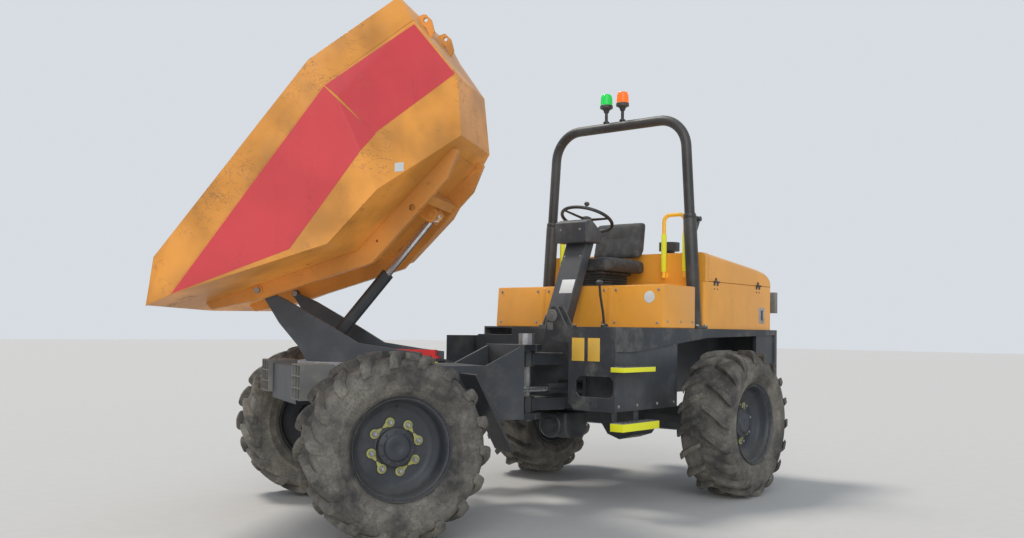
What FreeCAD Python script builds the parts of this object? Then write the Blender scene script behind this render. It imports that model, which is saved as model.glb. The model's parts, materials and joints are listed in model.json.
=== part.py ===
# Articulated site dumper with a swivel skip, shown steered to the right with its skip turned and tipped.
# Millimetres. X is forward on the rear unit, Y is left, Z is up, and the floor is at Z = 0.
# The construction frames start at the articulation pin, and the last step moves the origin
# to the bottom centre of the whole machine's box.
import FreeCAD
import Part
import math
import os

V = FreeCAD.Vector
Y_AXIS = V(0, 1, 0)
Z_AXIS = V(0, 0, 1)

# Driving dimensions
# Pose in which the machine stands, in degrees
ARTICULATION = -25.7
SWIVEL = -38.0
TIP = 46.0

# Wheels and tyres
TYRE_RADIUS = 525.0
TYRE_WIDTH = 400.0
TYRE_BEAD_RADIUS = 268.0
RIM_WALL = 8.0
RIM_FLANGE_RADIUS = 286.0
RIM_WIDTH = 336.0
DISC_OFFSET = 61.0
DISC_THICKNESS = 16.0
HUB_RADIUS = 112.0
HUB_LENGTH = 62.0
HALF_TRACK = 896.0
FRONT_AXLE_X = 1238.0
REAR_AXLE_X = -1311.0
AXLE_HALF_HEIGHT = 78.0
DIFF_RADIUS = 185.0

LUG_COUNT = 18
LUG_BASE_RADIUS = TYRE_RADIUS - 85
LUG_DEPTH = 34.0
LUG_THICKNESS = 44.0
LUG_LEAD = 0.62
LUG_INNER_Y = 8.0
LUG_OUTER_Y = 192.0

# Round bars and holes are drawn with flat sides, so that the whole stays light
ROD_SIDES = 10
WHEEL_SIDES = 18
PIN_SIDES = 20
BEND_STEPS = 3

# Plates and gaps
PLATE = 12.0
RAIL_PLATE = 25.0
RUN_GAP = 6.0
FIT_GAP = 0.4
PIN_GAP = 0.25

# Front frame
FRONT_RAIL_Y = 285.0
BEARING_HEIGHT = 50.0
FRONT_TOP_Z = 940.0
FRONT_BOTTOM_Z = 590.0
FRONT_NOSE_X = 1640.0
FRONT_TAIL_X = 150.0
PIVOT_EAR_THICKNESS = 40.0
PIVOT_EAR_RADIUS = 105.0
PIVOT_TOP_Z = 1035.0
PIVOT_BOTTOM_Z = 610.0
PIVOT_PIN_RADIUS = 35.0
PIVOT_BLOCK_RADIUS = 62.0
PIVOT_BLOCK_HEIGHT = 105.0
PIVOT_CAP_TOP_Z = 1150.0
PIVOT_CAP_RADIUS = 55.0
FRONT_WING_INNER_Y = 300.0
FRONT_WING_OUTER_Y = 565.0

# Lamps on the front frame
LAMP_GUARD_X = 1480.0
LAMP_GUARD_LENGTH = 200.0
LAMP_GUARD_Y = 340.0
LAMP_GUARD_WIDTH = 210.0
LAMP_GUARD_BOTTOM_Z = 755.0
LAMP_GUARD_HEIGHT = 205.0
GUARD_BAR = 10.0

# Slew ring and neck that carry the skip
SLEW_X = 1240.0
SLEW_RADIUS = 330.0
SLEW_HEIGHT = 25.0
NECK_BASE_THICKNESS = 20.0
NECK_OUTER_Y = 240.0
NECK_SLOT_HALF = 80.0
NECK_REAR_X = -550.0
HINGE_X = 485.0
HINGE_Z = 1395.0
HINGE_PIN_RADIUS = 18.0
HINGE_BOSS_RADIUS = 26.0
BEAM_BOSS_RADIUS = 31.0

# Tip ram
RAM_BASE_X = 166.0
RAM_BASE_Z = 1026.0
RAM_EYE_X = -575.0
RAM_EYE_Z = 985.0
RAM_BARREL_RADIUS = 42.0
RAM_BARREL_LENGTH = 640.0
RAM_PISTON_AT = 430.0
RAM_ROD_RADIUS = 25.0
RAM_EYE_RADIUS = 36.0
RAM_EYE_HALF = 34.0
RAM_PIN_RADIUS = 20.0
CLEVIS_PLATE = 20.0
RAM_SLOT_HALF = 50.0
BARREL_BORE = 0.82
CYLINDER_END = 12.0
PISTON_LENGTH = 20.0

# Steering ram, on the left
STEER_Z = 775.0
STEER_BASE_X = -480.0
STEER_BASE_Y = 190.0
STEER_EYE_X = 270.0
STEER_EYE_Y = 165.0
STEER_BARREL_RADIUS = 34.0
STEER_BARREL_LENGTH = 400.0
STEER_PISTON_AT = 246.0
STEER_ROD_RADIUS = 19.0
STEER_EYE_RADIUS = 34.0
STEER_EYE_HALF = 24.0
EYE_SIDE_GAP = 5.5
STEER_PIN_RADIUS = 15.0
STEER_WINDOW_HALF = 60.0

# Skip, in its level carrying position about the slew axis
SKIP_FLOOR_Z = 1100.0
SKIP_RIM_Z = 1680.0
SKIP_WALL = 10.0
SKIP_BEND_X = -139.0
LIFTING_EYE_X = -1413.0
LIFTING_EYE_Y = 205.0
LIFTING_EYE_Z = 1806.0
LIFTING_EYE_RADIUS = 14.0
BEAM_OUTER_Y = 302.0
BEAM_WIDTH = 52.0

# Rear frame
REAR_RAIL_Y = 330.0
REAR_TOP_Z = 1188.0
REAR_BOTTOM_Z = 640.0
REAR_FRONT_X = -240.0
REAR_END_X = -2300.0
DECK_TOP_Z = 1200.0
DECK_FRONT_X = 30.0
DECK_RIGHT_FRONT_X = -420.0
DECK_HALF_WIDTH = 750.0
DECK_NOTCH_X = -250.0
DECK_NOTCH_HALF = REAR_RAIL_Y
FRONT_PANEL_INNER_Y = DECK_NOTCH_HALF + 50
FRONT_PANEL_BOTTOM_Z = 655.0
PANEL_WINDOW_INSET = 15.0
PANEL_WINDOW_WIDTH = 295.0
PANEL_WINDOW_LOW_Z = 745.0
PANEL_WINDOW_HIGH_Z = 880.0
PANEL_CORNER_CUT = 28.0
DECK_EAR_GAP = 68.0
TAIL_TOP_Z = 1200.0
TAIL_BOTTOM_Z = 740.0
TANK_OUTER_Y = DECK_HALF_WIDTH - 50
TANK_FRONT_X = -250.0
TANK_RIGHT_FRONT_X = -270.0
TANK_REAR_X = -770.0
TANK_BOTTOM_Z = 660.0
TANK_EDGE_RADIUS = 35.0
TOW_PIN_RADIUS = 16.0
TOW_Z = 640.0
TOW_X = REAR_END_X - 95

# Steps
STEP_OUTER_Y = DECK_HALF_WIDTH + 100
STEP_FRONT_X = 90.0
STEP_REAR_X = -350.0
STEP_THICKNESS = 12.0
STEP_KERB = 35.0
STEP_HANGER_X = -345.0
STEP_HANGER_WIDTH = 42.0
STEP_HEIGHTS = (560.0, 940.0)
STEP_RIGHT_SHIFT = -360.0

# Engine cover
HOOD_HALF_WIDTH = 720.0
HOOD_FRONT_X = -1190.0
HOOD_REAR_X = -2300.0
HOOD_SPLIT_Z = 1550.0
HOOD_TOP_FRONT_Z = 1765.0
HOOD_TOP_REAR_Z = 1665.0
HOOD_SHEET = 5.0
HOOD_EDGE_CUT = 40.0
HOOD_FRONT_DEPTH = 40.0
HOOD_HINGE_Z = HOOD_SPLIT_Z
HOOD_HINGE_Y = HOOD_HALF_WIDTH + 9
HOOD_HINGE_XS = (-1350.0, -2050.0)
HOOD_HINGE_RADIUS = 7.0
HOOD_HINGE_PIN = 3.5

ENGINE_FRONT_X = -1420.0
ENGINE_REAR_X = -2120.0
ENGINE_BOTTOM_Z = 900.0
ENGINE_TOP_Z = 1480.0

# Seat, console and roll hoop
PLINTH_HALF_WIDTH = 180.0
PLINTH_FRONT_X = -420.0
PLINTH_TOP_Z = 1500.0
CONSOLE_HALF_WIDTH = 90.0
PANEL_HALF_WIDTH = 140.0
PANEL_BOTTOM_Z = 1812.0
WHEEL_X = -700.0
WHEEL_Z = 2000.0
WHEEL_RADIUS = 190.0
WHEEL_TUBE = 13.0
WHEEL_STEM_RADIUS = 20.0
WHEEL_AXIS = V(-0.387, 0, 0.922)
SEAT_X = -860.0
SEAT_HALF_WIDTH = 240.0
HOOP_X = -1110.0
HOOP_BASE_HALF = DECK_HALF_WIDTH - 70
HOOP_TOP_HALF = 585.0
HOOP_TOP_Z = 2800.0
HOOP_TUBE = 38.0
HOOP_POST = 48.0
HOOP_FOLD_Z = 2010.0
HOOP_CORNER = 230.0
HOOP_SIDES = 12
FOLD_PIN_BACK = 78.0
FOLD_PIN_RADIUS = 14.0
FOLD_LUG = 16.0


# Frames
def rear(shape):
    return shape


def front(shape):
    turned = shape.copy()
    turned.rotate(V(0, 0, 0), Z_AXIS, ARTICULATION)
    return turned


def swivel(shape):
    turned = shape.copy()
    turned.rotate(V(0, 0, 0), Z_AXIS, SWIVEL)
    turned.translate(V(SLEW_X, 0, 0))
    return front(turned)


def skip(shape):
    turned = shape.copy()
    turned.rotate(V(HINGE_X, 0, HINGE_Z), Y_AXIS, TIP)
    return swivel(turned)


# Small shape helpers
def box(x0, x1, y0, y1, z0, z1):
    return Part.makeBox(x1 - x0, y1 - y0, z1 - z0, V(x0, y0, z0))


def ring_points(centre, direction, radius, sides):
    """Corners of a many-sided ring about a line through centre."""
    along = V(direction).normalize()
    across = Y_AXIS if abs(along.z) > 0.9 else along.cross(Z_AXIS).normalize()
    across = (across - along * across.dot(along)).normalize()
    over = along.cross(across)
    points = []
    for index in range(sides):
        angle = 2 * math.pi * (index + 0.5) / sides
        points.append(centre + across * (radius * math.cos(angle)) + over * (radius * math.sin(angle)))
    return points


def rod(start, end, radius, sides=ROD_SIDES):
    ring = ring_points(start, end - start, radius, sides)
    return Part.Face(Part.makePolygon(ring + ring[:1])).extrude(end - start)


def hole(start, end, radius, sides=ROD_SIDES):
    """The body of a hole, whose flats clear a bar of the same radius."""
    return rod(start, end, radius / math.cos(math.pi / sides), sides)


def tube(start, end, radius, bore, sides=ROD_SIDES):
    return rod(start, end, radius, sides).cut(rod(start, end, bore, sides))


def round_hole(start, end, radius):
    """The body of a true round hole, for bores that take somebody else's pin."""
    return Part.makeCylinder(radius, (end - start).Length, start, end - start)


def solid_of(faces):
    solid = Part.Solid(Part.Shell(faces))
    if solid.Volume < 0:
        solid.reverse()
    return solid


def turned(profile, sides):
    """A closed profile of radius and Y, carried round the Y axis in flat steps."""
    rings = []
    for index in range(sides):
        angle = 2 * math.pi * (index + 0.5) / sides
        rings.append([V(r * math.cos(angle), y, r * math.sin(angle)) for r, y in profile])
    faces = []
    for this, following in zip(rings, rings[1:] + rings[:1]):
        for first, last in zip(range(len(profile)), list(range(1, len(profile))) + [0]):
            corners = [this[first], this[last], following[last], following[first]]
            faces.append(Part.Face(Part.makePolygon(corners + corners[:1])))
    return solid_of(faces)


def side_plate(points, y0, y1):
    face = Part.Face(Part.makePolygon([V(x, y0, z) for x, z in points + points[:1]]))
    return face.extrude(V(0, y1 - y0, 0))


def cross_plate(points, x0, x1):
    """A plate square to the length of the machine, from points of y and z."""
    face = Part.Face(Part.makePolygon([V(x0, y, z) for y, z in points + points[:1]]))
    return face.extrude(V(x1 - x0, 0, 0))


def flat_plate(points, z0, z1):
    face = Part.Face(Part.makePolygon([V(x, y, z0) for x, y in points + points[:1]]))
    return face.extrude(V(0, 0, z1 - z0))


def mirror_y(shape):
    return shape.mirror(V(0, 0, 0), Y_AXIS)


def both_sides(shape):
    return Part.makeCompound([shape, mirror_y(shape)])


def fuse(shapes):
    joined = shapes[0].multiFuse(shapes[1:])
    return joined.removeSplitter()


def bent_tube(points, radius, bend, sides):
    """A round bar along straight runs, with bends of one radius in flat steps."""
    path = [points[0]]
    for before, corner, after in zip(points, points[1:], points[2:]):
        into = (corner - before).normalize()
        out = (after - corner).normalize()
        turn = into.getAngle(out)
        setback = bend * math.tan(turn / 2)
        centre_way = (out - into).normalize()
        centre = corner + centre_way * (bend / math.cos(turn / 2))
        outward = (corner - into * setback - centre).normalize()
        axis = into.cross(out).normalize()
        for index in range(BEND_STEPS + 1):
            spoke = FreeCAD.Rotation(axis, math.degrees(turn) * index / BEND_STEPS).multVec(outward)
            path.append(centre + spoke * bend)
    path.append(points[-1])
    runs = [(last - first).normalize() for first, last in zip(path, path[1:])]
    rings = [ring_points(path[0], runs[0], radius, sides)]
    for index, run in enumerate(runs):
        following = runs[min(index + 1, len(runs) - 1)]
        mitre = run + following
        corner = path[index + 1]
        rings.append([point + run * ((corner - point).dot(mitre) / run.dot(mitre)) for point in rings[-1]])
    faces = [Part.Face(Part.makePolygon(ring + ring[:1])) for ring in (rings[0], rings[-1])]
    for this, following in zip(rings, rings[1:]):
        for first, last in zip(range(sides), list(range(1, sides)) + [0]):
            corners = [this[first], this[last], following[last], following[first]]
            faces.append(Part.Face(Part.makePolygon(corners + corners[:1])))
    return solid_of(faces)


# Wheels: the wheel's own frame has its axle along +Y, outboard
def tyre_lug(side, index):
    """One lug of the tread: it leads forwards from the middle of the tread to its shoulder."""
    lean = LUG_LEAD * (LUG_OUTER_Y - LUG_INNER_Y)
    half = LUG_THICKNESS / 2
    outline = [
        (-lean / 2 - half, LUG_INNER_Y),
        (-lean / 2 + half, LUG_INNER_Y),
        (lean / 2 + half, LUG_OUTER_Y),
        (lean / 2 - half, LUG_OUTER_Y),
    ]
    top = math.sqrt(TYRE_RADIUS ** 2 - (lean / 2 + half) ** 2)
    lug = flat_plate([(x, side * y) for x, y in outline], LUG_BASE_RADIUS, top)
    turn = 360.0 * (index + (0.5 if side < 0 else 0.0)) / LUG_COUNT
    lug.rotate(V(0, 0, 0), Y_AXIS, turn)
    return lug


def tyre():
    half = TYRE_WIDTH / 2
    crown = TYRE_RADIUS - LUG_DEPTH
    outer = [
        (TYRE_BEAD_RADIUS, -RIM_WIDTH / 2 + 22),
        (crown * 0.8, -half),
        (crown - 38, -half + 12),
        (crown, -half + 60),
    ]
    profile = outer + [(r, -y) for r, y in reversed(outer)]
    lugs = [tyre_lug(side, index) for side in (-1, 1) for index in range(LUG_COUNT)]
    return turned(profile, WHEEL_SIDES).multiFuse(lugs)


def rim():
    half = RIM_WIDTH / 2
    seat = TYRE_BEAD_RADIUS - FIT_GAP
    barrel = turned([
        (RIM_FLANGE_RADIUS, -half),
        (seat, -half + 18),
        (seat, half - 18),
        (RIM_FLANGE_RADIUS, half),
        (seat - RIM_WALL, half - 12),
        (seat - RIM_WALL, -half + 12),
    ], WHEEL_SIDES)
    disc_face = DISC_OFFSET - HUB_LENGTH / 2
    disc = rod(V(0, disc_face - DISC_THICKNESS, 0), V(0, disc_face, 0), seat - RIM_WALL / 2, WHEEL_SIDES)
    hub = rod(V(0, disc_face - 40, 0), V(0, disc_face + HUB_LENGTH, 0), HUB_RADIUS)
    parts = [barrel, disc, hub]
    return fuse(parts)


def wheel_pose(shape, x, side):
    placed = shape.copy()
    if side < 0:
        placed = mirror_y(placed)
    placed.translate(V(x, side * HALF_TRACK, TYRE_RADIUS))
    return placed


def axle(x):
    disc_face = DISC_OFFSET - HUB_LENGTH / 2
    end = HALF_TRACK + disc_face - 40 - FIT_GAP
    arm = side_plate_hex(x, AXLE_HALF_HEIGHT, -end + 90, end - 90)
    parts = [
        arm,
        rod(V(x, -end, TYRE_RADIUS), V(x, end, TYRE_RADIUS), 92),
        rod(V(x - 150, 0, TYRE_RADIUS), V(x + 150, 0, TYRE_RADIUS), DIFF_RADIUS),
    ]
    return fuse(parts)


def side_plate_hex(x, half, y0, y1):
    points = [
        (x - half, TYRE_RADIUS - half * 0.5),
        (x - half * 0.6, TYRE_RADIUS - half),
        (x + half * 0.6, TYRE_RADIUS - half),
        (x + half, TYRE_RADIUS - half * 0.5),
        (x + half, TYRE_RADIUS + half * 0.5),
        (x + half * 0.6, TYRE_RADIUS + half),
        (x - half * 0.6, TYRE_RADIUS + half),
        (x - half, TYRE_RADIUS + half * 0.5),
    ]
    return side_plate(points, y0, y1)


# Front unit
def front_frame():
    inner = FRONT_RAIL_Y - RAIL_PLATE
    rail = [
        (FRONT_TAIL_X, FRONT_BOTTOM_Z),
        (620, FRONT_BOTTOM_Z),
        (700, TYRE_RADIUS + DIFF_RADIUS + RUN_GAP),
        (FRONT_NOSE_X, TYRE_RADIUS + DIFF_RADIUS + RUN_GAP),
        (FRONT_NOSE_X, FRONT_TOP_Z),
        (420, FRONT_TOP_Z),
        (FRONT_TAIL_X, PIVOT_TOP_Z + PIVOT_EAR_THICKNESS),
    ]
    rails = both_sides(side_plate(rail, inner, FRONT_RAIL_Y))
    top = box(420, FRONT_NOSE_X, -FRONT_RAIL_Y, FRONT_RAIL_Y, FRONT_TOP_Z - PLATE, FRONT_TOP_Z)
    nose_half = LAMP_GUARD_Y - RUN_GAP
    nose = box(FRONT_NOSE_X, FRONT_NOSE_X + PLATE, -nose_half, nose_half, 720, FRONT_TOP_Z)
    tail = box(FRONT_TAIL_X, FRONT_TAIL_X + RAIL_PLATE, -FRONT_RAIL_Y, FRONT_RAIL_Y,
               FRONT_BOTTOM_Z, PIVOT_TOP_Z + PIVOT_EAR_THICKNESS)
    ears = []
    for z in (PIVOT_TOP_Z, PIVOT_BOTTOM_Z - PIVOT_EAR_THICKNESS):
        ear = rod(V(0, 0, z), V(0, 0, z + PIVOT_EAR_THICKNESS), PIVOT_EAR_RADIUS)
        web = flat_plate([(-20, -100), (FRONT_TAIL_X + 5, -230), (FRONT_TAIL_X + 5, 230), (-20, 100)],
                         z, z + PIVOT_EAR_THICKNESS)
        ears.append(fuse([ear, web]).cut(hole(V(0, 0, z - 1), V(0, 0, z + 100), PIVOT_PIN_RADIUS + FIT_GAP)))
    for side in (-1, 1):
        near, far = sorted((side * 90, side * inner))
        tail = tail.cut(box(FRONT_TAIL_X - 1, FRONT_TAIL_X + RAIL_PLATE + 1, near, far,
                            STEER_Z - STEER_WINDOW_HALF, STEER_Z + STEER_WINDOW_HALF))
    lugs = []
    for z in (STEER_Z + STEER_EYE_HALF + EYE_SIDE_GAP, STEER_Z - STEER_EYE_HALF - EYE_SIDE_GAP - PLATE):
        lugs.append(box(STEER_EYE_X - 45, STEER_EYE_X + 45, STEER_EYE_Y - 38, inner, z, z + PLATE))
    cap_offset = STEER_EYE_HALF + EYE_SIDE_GAP + PLATE
    for z in (STEER_Z + cap_offset, STEER_Z - cap_offset - 10):
        lugs.append(rod(V(STEER_EYE_X, STEER_EYE_Y, z), V(STEER_EYE_X, STEER_EYE_Y, z + 10), STEER_PIN_RADIUS))
    parts = [rails.Solids[0], rails.Solids[1], top, nose, tail] + ears + lugs
    bearing = box(SLEW_X - 90, SLEW_X + 90, -inner, inner, TYRE_RADIUS + DIFF_RADIUS + FIT_GAP,
                  TYRE_RADIUS + DIFF_RADIUS + BEARING_HEIGHT)
    return fuse(parts + [bearing])


def pivot_pin():
    pin = rod(V(0, 0, PIVOT_BOTTOM_Z - PIVOT_EAR_THICKNESS - 15), V(0, 0, PIVOT_CAP_TOP_Z - 20), PIVOT_PIN_RADIUS)
    cap = rod(V(0, 0, PIVOT_TOP_Z + PIVOT_EAR_THICKNESS), V(0, 0, PIVOT_CAP_TOP_Z), PIVOT_CAP_RADIUS)
    return fuse([pin, cap])


def front_wings():
    top = (600, 900)
    bottom = (345, 420)
    points = [top, (top[0] + 14, top[1] - 6), (bottom[0] + 14, bottom[1] - 6), bottom]
    wing = side_plate(points, FRONT_WING_INNER_Y, FRONT_WING_OUTER_Y)
    arm = box(500, 590, FRONT_RAIL_Y, FRONT_WING_INNER_Y + 40, 740, 800)
    return both_sides(fuse([wing, arm]))


def lamp_guard():
    x0 = LAMP_GUARD_X
    x1 = x0 + LAMP_GUARD_LENGTH
    y0 = LAMP_GUARD_Y
    y1 = y0 + LAMP_GUARD_WIDTH
    z0 = LAMP_GUARD_BOTTOM_Z
    z1 = z0 + LAMP_GUARD_HEIGHT
    shell = box(x0, x1, y0, y1, z0, z1).cut(box(x0 + 8, x1 + 1, y0 + 8, y1 - 8, z0 + 8, z1 - 8))
    parts = [shell]
    for step in (1, 2):
        y = y0 + step * LAMP_GUARD_WIDTH / 3
        z = z0 + step * LAMP_GUARD_HEIGHT / 3
        parts.append(box(x1 - GUARD_BAR, x1, y - GUARD_BAR / 2, y + GUARD_BAR / 2, z0 + 4, z1 - 4))
        parts.append(box(x1 - GUARD_BAR, x1, y0 + 4, y1 - 4, z - GUARD_BAR / 2, z + GUARD_BAR / 2))
    arm = box(x0 - 0, x0 + 60, FRONT_RAIL_Y, y0 + 4, z0 + 60, z0 + 110)
    lamp_centre = V(x0 + 8, (y0 + y1) / 2, (z0 + z1) / 2)
    lamp = rod(lamp_centre, lamp_centre + V(110, 0, 0), 72)
    return fuse(parts + [arm, lamp])


# Swivel neck
def slew_ring():
    ring = tube(V(0, 0, FRONT_TOP_Z), V(0, 0, FRONT_TOP_Z + SLEW_HEIGHT), SLEW_RADIUS, SLEW_RADIUS - 70)
    ring.translate(V(SLEW_X, 0, 0))
    return ring


def swan_neck():
    base_z = FRONT_TOP_Z + SLEW_HEIGHT + FIT_GAP
    inner = NECK_OUTER_Y - RAIL_PLATE
    profile = [
        (183, base_z),
        (242, 1056),
        (372, 1196),
        (HINGE_X + 6, HINGE_Z - 24),
        (HINGE_X, HINGE_Z + 10),
        (336, 1343),
        (20, 1175),
        (-145, 1081),
        (-402, 1045),
        (NECK_REAR_X, 1030),
        (NECK_REAR_X, base_z),
    ]
    plate = side_plate(profile, inner, NECK_OUTER_Y)
    boss = rod(V(HINGE_X, inner, HINGE_Z), V(HINGE_X, NECK_OUTER_Y, HINGE_Z), HINGE_BOSS_RADIUS)
    plate = plate.fuse(boss)
    bore = hole(V(HINGE_X, 0, HINGE_Z), V(HINGE_X, NECK_OUTER_Y + 1, HINGE_Z), HINGE_PIN_RADIUS + PIN_GAP,
                PIN_SIDES)
    plate = plate.cut(bore)
    base = box(NECK_REAR_X + 5, 175, -inner - 5, inner + 5, base_z, base_z + NECK_BASE_THICKNESS)
    slot = box(NECK_REAR_X - 1, 200, -NECK_SLOT_HALF, NECK_SLOT_HALF, base_z - 1, base_z + NECK_BASE_THICKNESS + 1)
    base = base.cut(slot)
    cross = rod(V(RAM_BASE_X, -inner - 5, RAM_BASE_Z), V(RAM_BASE_X, inner + 5, RAM_BASE_Z), RAM_PIN_RADIUS,
                PIN_SIDES)
    front_web = side_plate([(150, base_z + 5), (172, base_z + 5), (226, 1050), (204, 1050)], -inner - 5, inner + 5)
    front_web = front_web.cut(box(100, 300, -RAM_EYE_HALF - RUN_GAP, RAM_EYE_HALF + RUN_GAP, base_z - 1, 1100))
    return fuse([plate, mirror_y(plate), base, cross, front_web])


def safety_prop():
    y = -160
    bar = box(-520, -250, y - 20, y + 20, 1000, 1040)
    foot = box(-540, -500, y - 30, y + 30, FRONT_TOP_Z + SLEW_HEIGHT + FIT_GAP + NECK_BASE_THICKNESS, 1000)
    return fuse([bar, foot])


# Skip: flat panels given by three points each, in the level carrying position
LIP_CORNER = V(880, 800, 1640)
SIDE_BEND = V(SKIP_BEND_X, 750, SKIP_FLOOR_Z)
SIDE_BACK = V(-768, 750, SKIP_FLOOR_Z)
RIM_FRONT = V(705, 862, 1548)
RIM_KINK = V(-777, 898, SKIP_RIM_Z)
RIM_BACK = V(-1363, 490, 1735)
WALL_FOOT = V(-1310, 310, 1377)
FLOOR_BACK = V(-1073, 330, SKIP_FLOOR_Z)
SKIP_INSIDE = V(-500, 0, 1450)


def other(point):
    return V(point.x, -point.y, point.z)


def half_space(a, b, c, inset):
    """A large block on the outer side of the plane through three points, moved inwards by inset."""
    normal = (b - a).cross(c - a).normalize()
    if normal.dot(SKIP_INSIDE - a) > 0:
        normal = normal * -1
    reach = 6000
    block = Part.makeBox(reach, reach, reach, V(-reach / 2, -reach / 2, 0))
    block.Placement = FreeCAD.Placement(a - normal * inset, FreeCAD.Rotation(Z_AXIS, normal))
    return block


def skip_form(inset):
    """The closed form of the skip below its rim, or its hollow where inset is the wall."""
    side_panels = [
        (SIDE_BEND, SIDE_BACK, RIM_KINK),
        (RIM_KINK, SIDE_BACK, RIM_BACK),
        (RIM_BACK, WALL_FOOT, FLOOR_BACK),
    ]
    middle_panels = [
        (SIDE_BEND, other(SIDE_BEND), SIDE_BACK),
        (SIDE_BEND, other(SIDE_BEND), RIM_FRONT),
        (RIM_BACK, other(RIM_BACK), WALL_FOOT),
        (WALL_FOOT, other(WALL_FOOT), FLOOR_BACK),
    ]
    mirrored = [tuple(other(point) for point in panel) for panel in side_panels]
    form = box(-1500, 1000, -1000, 1000, 1000, 2000)
    for panel in side_panels + middle_panels + mirrored:
        form = form.cut(half_space(*panel, inset))
    rim_lift = V(0, 0, 0 if inset == 0 else 200)
    rim = (RIM_KINK + rim_lift, other(RIM_KINK) + rim_lift, RIM_FRONT + rim_lift)
    return form.cut(half_space(*rim, 0))


def band_section(lower, fold, top, outward):
    wall = outward * SKIP_WALL
    points = [lower, fold, top, top - wall, fold - wall, lower - wall]
    return Part.makePolygon(points + points[:1])


def rim_band():
    """The folded band round the top, from one side of the lip round the back to the other."""
    # lower point, fold, top edge, outward direction in plan
    stations = [
        (V(868, 792, 1634), V(840, 812, 1668), V(669, 822, 1767), V(0, 1, 0)),
        (V(705, 862, 1548), V(692, 890, 1603), V(640, 824, 1770), V(0, 1, 0)),
        (V(-777, 898, 1680), V(-784, 928, 1736), V(-780, 862, 1868), V(-0.4, 1, 0)),
        (V(-1363, 490, 1735), V(-1392, 508, 1790), V(-1345, 470, 1918), V(-1, 0.6, 0)),
    ]
    wires = [band_section(*station) for station in stations]
    for lower, fold, top, outward in reversed(stations):
        wires.append(band_section(other(lower), other(fold), other(top), other(outward)))
    return Part.makeLoft(wires, True, True)


def chute_height(x):
    slope = (RIM_FRONT.z - SKIP_FLOOR_Z) / (RIM_FRONT.x - SKIP_BEND_X)
    return SKIP_FLOOR_Z + (x - SKIP_BEND_X) * slope


def lip_plate():
    start = 560
    end = LIP_CORNER.x
    outline = [
        V(start, 820, chute_height(start)),
        V(RIM_FRONT.x, 855, chute_height(RIM_FRONT.x)),
        V(end - 10, LIP_CORNER.y, chute_height(end - 10)),
        V(end + 30, 0, chute_height(end + 30)),
    ]
    points = outline + [other(point) for point in reversed(outline[:-1])]
    slope = math.atan2(chute_height(1000) - chute_height(0), 1000)
    up = V(-math.sin(slope), 0, math.cos(slope))
    plate = Part.Face(Part.makePolygon(points + points[:1])).extrude(up * (SKIP_WALL + 2))
    return plate


def skip_shell():
    shell = skip_form(0).cut(skip_form(SKIP_WALL))
    return fuse([shell, lip_plate(), rim_band()])


def skip_beams():
    """Box beams under the floor, with the hinge bores, the cross box and the ram's clevis."""
    gap = FIT_GAP
    bottom = SKIP_FLOOR_Z - 120
    points = [
        (715, chute_height(715) - gap),
        (SKIP_BEND_X, SKIP_FLOOR_Z - gap),
        (-980, SKIP_FLOOR_Z - gap),
        (-1000, 1060),
        (-830, bottom + 12),
        (-150, bottom),
        (400, 1285),
        (520, 1352),
        (790, chute_height(790) - 55),
        (790, chute_height(790) - gap),
    ]
    inner_y = BEAM_OUTER_Y - BEAM_WIDTH + 10
    solid = side_plate(points, inner_y, BEAM_OUTER_Y)
    boss = rod(V(HINGE_X, inner_y, HINGE_Z), V(HINGE_X, BEAM_OUTER_Y + 8, HINGE_Z), BEAM_BOSS_RADIUS)
    solid = solid.fuse(boss)
    bore = hole(V(HINGE_X, 0, HINGE_Z), V(HINGE_X, BEAM_OUTER_Y + 20, HINGE_Z), HINGE_PIN_RADIUS + PIN_GAP,
                PIN_SIDES)
    solid = solid.cut(bore)
    for x, z, radius in ((-560, 1032, 20), (-265, 1050, 8)):
        solid = solid.cut(hole(V(x, 0, z), V(x, BEAM_OUTER_Y + 20, z), radius))
    # the cross box stays inside the radius at which it would swing over a tyre
    cross = box(-690, -630, -inner_y - 2, inner_y + 2, bottom + 18, SKIP_FLOOR_Z - 1)
    parts = [solid, mirror_y(solid), cross]
    eye_z = RAM_EYE_Z
    for side in (-1, 1):
        y0 = RAM_EYE_HALF + EYE_SIDE_GAP
        y1 = y0 + CLEVIS_PLATE
        lug = side_plate([(RAM_EYE_X - 70, SKIP_FLOOR_Z - gap), (RAM_EYE_X - 38, eye_z - 30), (RAM_EYE_X + 38, eye_z - 30),
                          (RAM_EYE_X + 70, SKIP_FLOOR_Z - gap)], y0, y1)
        parts.append(lug if side > 0 else mirror_y(lug))
        cap_start = side * (y1 - 1)
        parts.append(rod(V(RAM_EYE_X, cap_start, eye_z), V(RAM_EYE_X, cap_start + side * 12, eye_z), RAM_PIN_RADIUS))
    plate_under = box(-960, -160, -inner_y - 2, inner_y + 2, SKIP_FLOOR_Z - 12 - gap, SKIP_FLOOR_Z - gap)
    plate_under = plate_under.cut(box(-700, -159, -RAM_SLOT_HALF, RAM_SLOT_HALF, 1000, 1200))
    return fuse(parts + [plate_under])


def lifting_eyes():
    # the first two points follow the rear face of the skip
    outline = [(-1358.2, 1700), (-1362.7, 1730), (-1380, 1765), (-1370.4, 1850), (-1400, 1856), (-1438, 1834),
               (-1438, 1780), (-1400, 1715)]
    y = LIFTING_EYE_Y
    plate = side_plate(outline, y - 10, y + 10)
    plate = plate.cut(hole(V(LIFTING_EYE_X, y - 11, LIFTING_EYE_Z), V(LIFTING_EYE_X, y + 11, LIFTING_EYE_Z),
                           LIFTING_EYE_RADIUS))
    return both_sides(plate)


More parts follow.
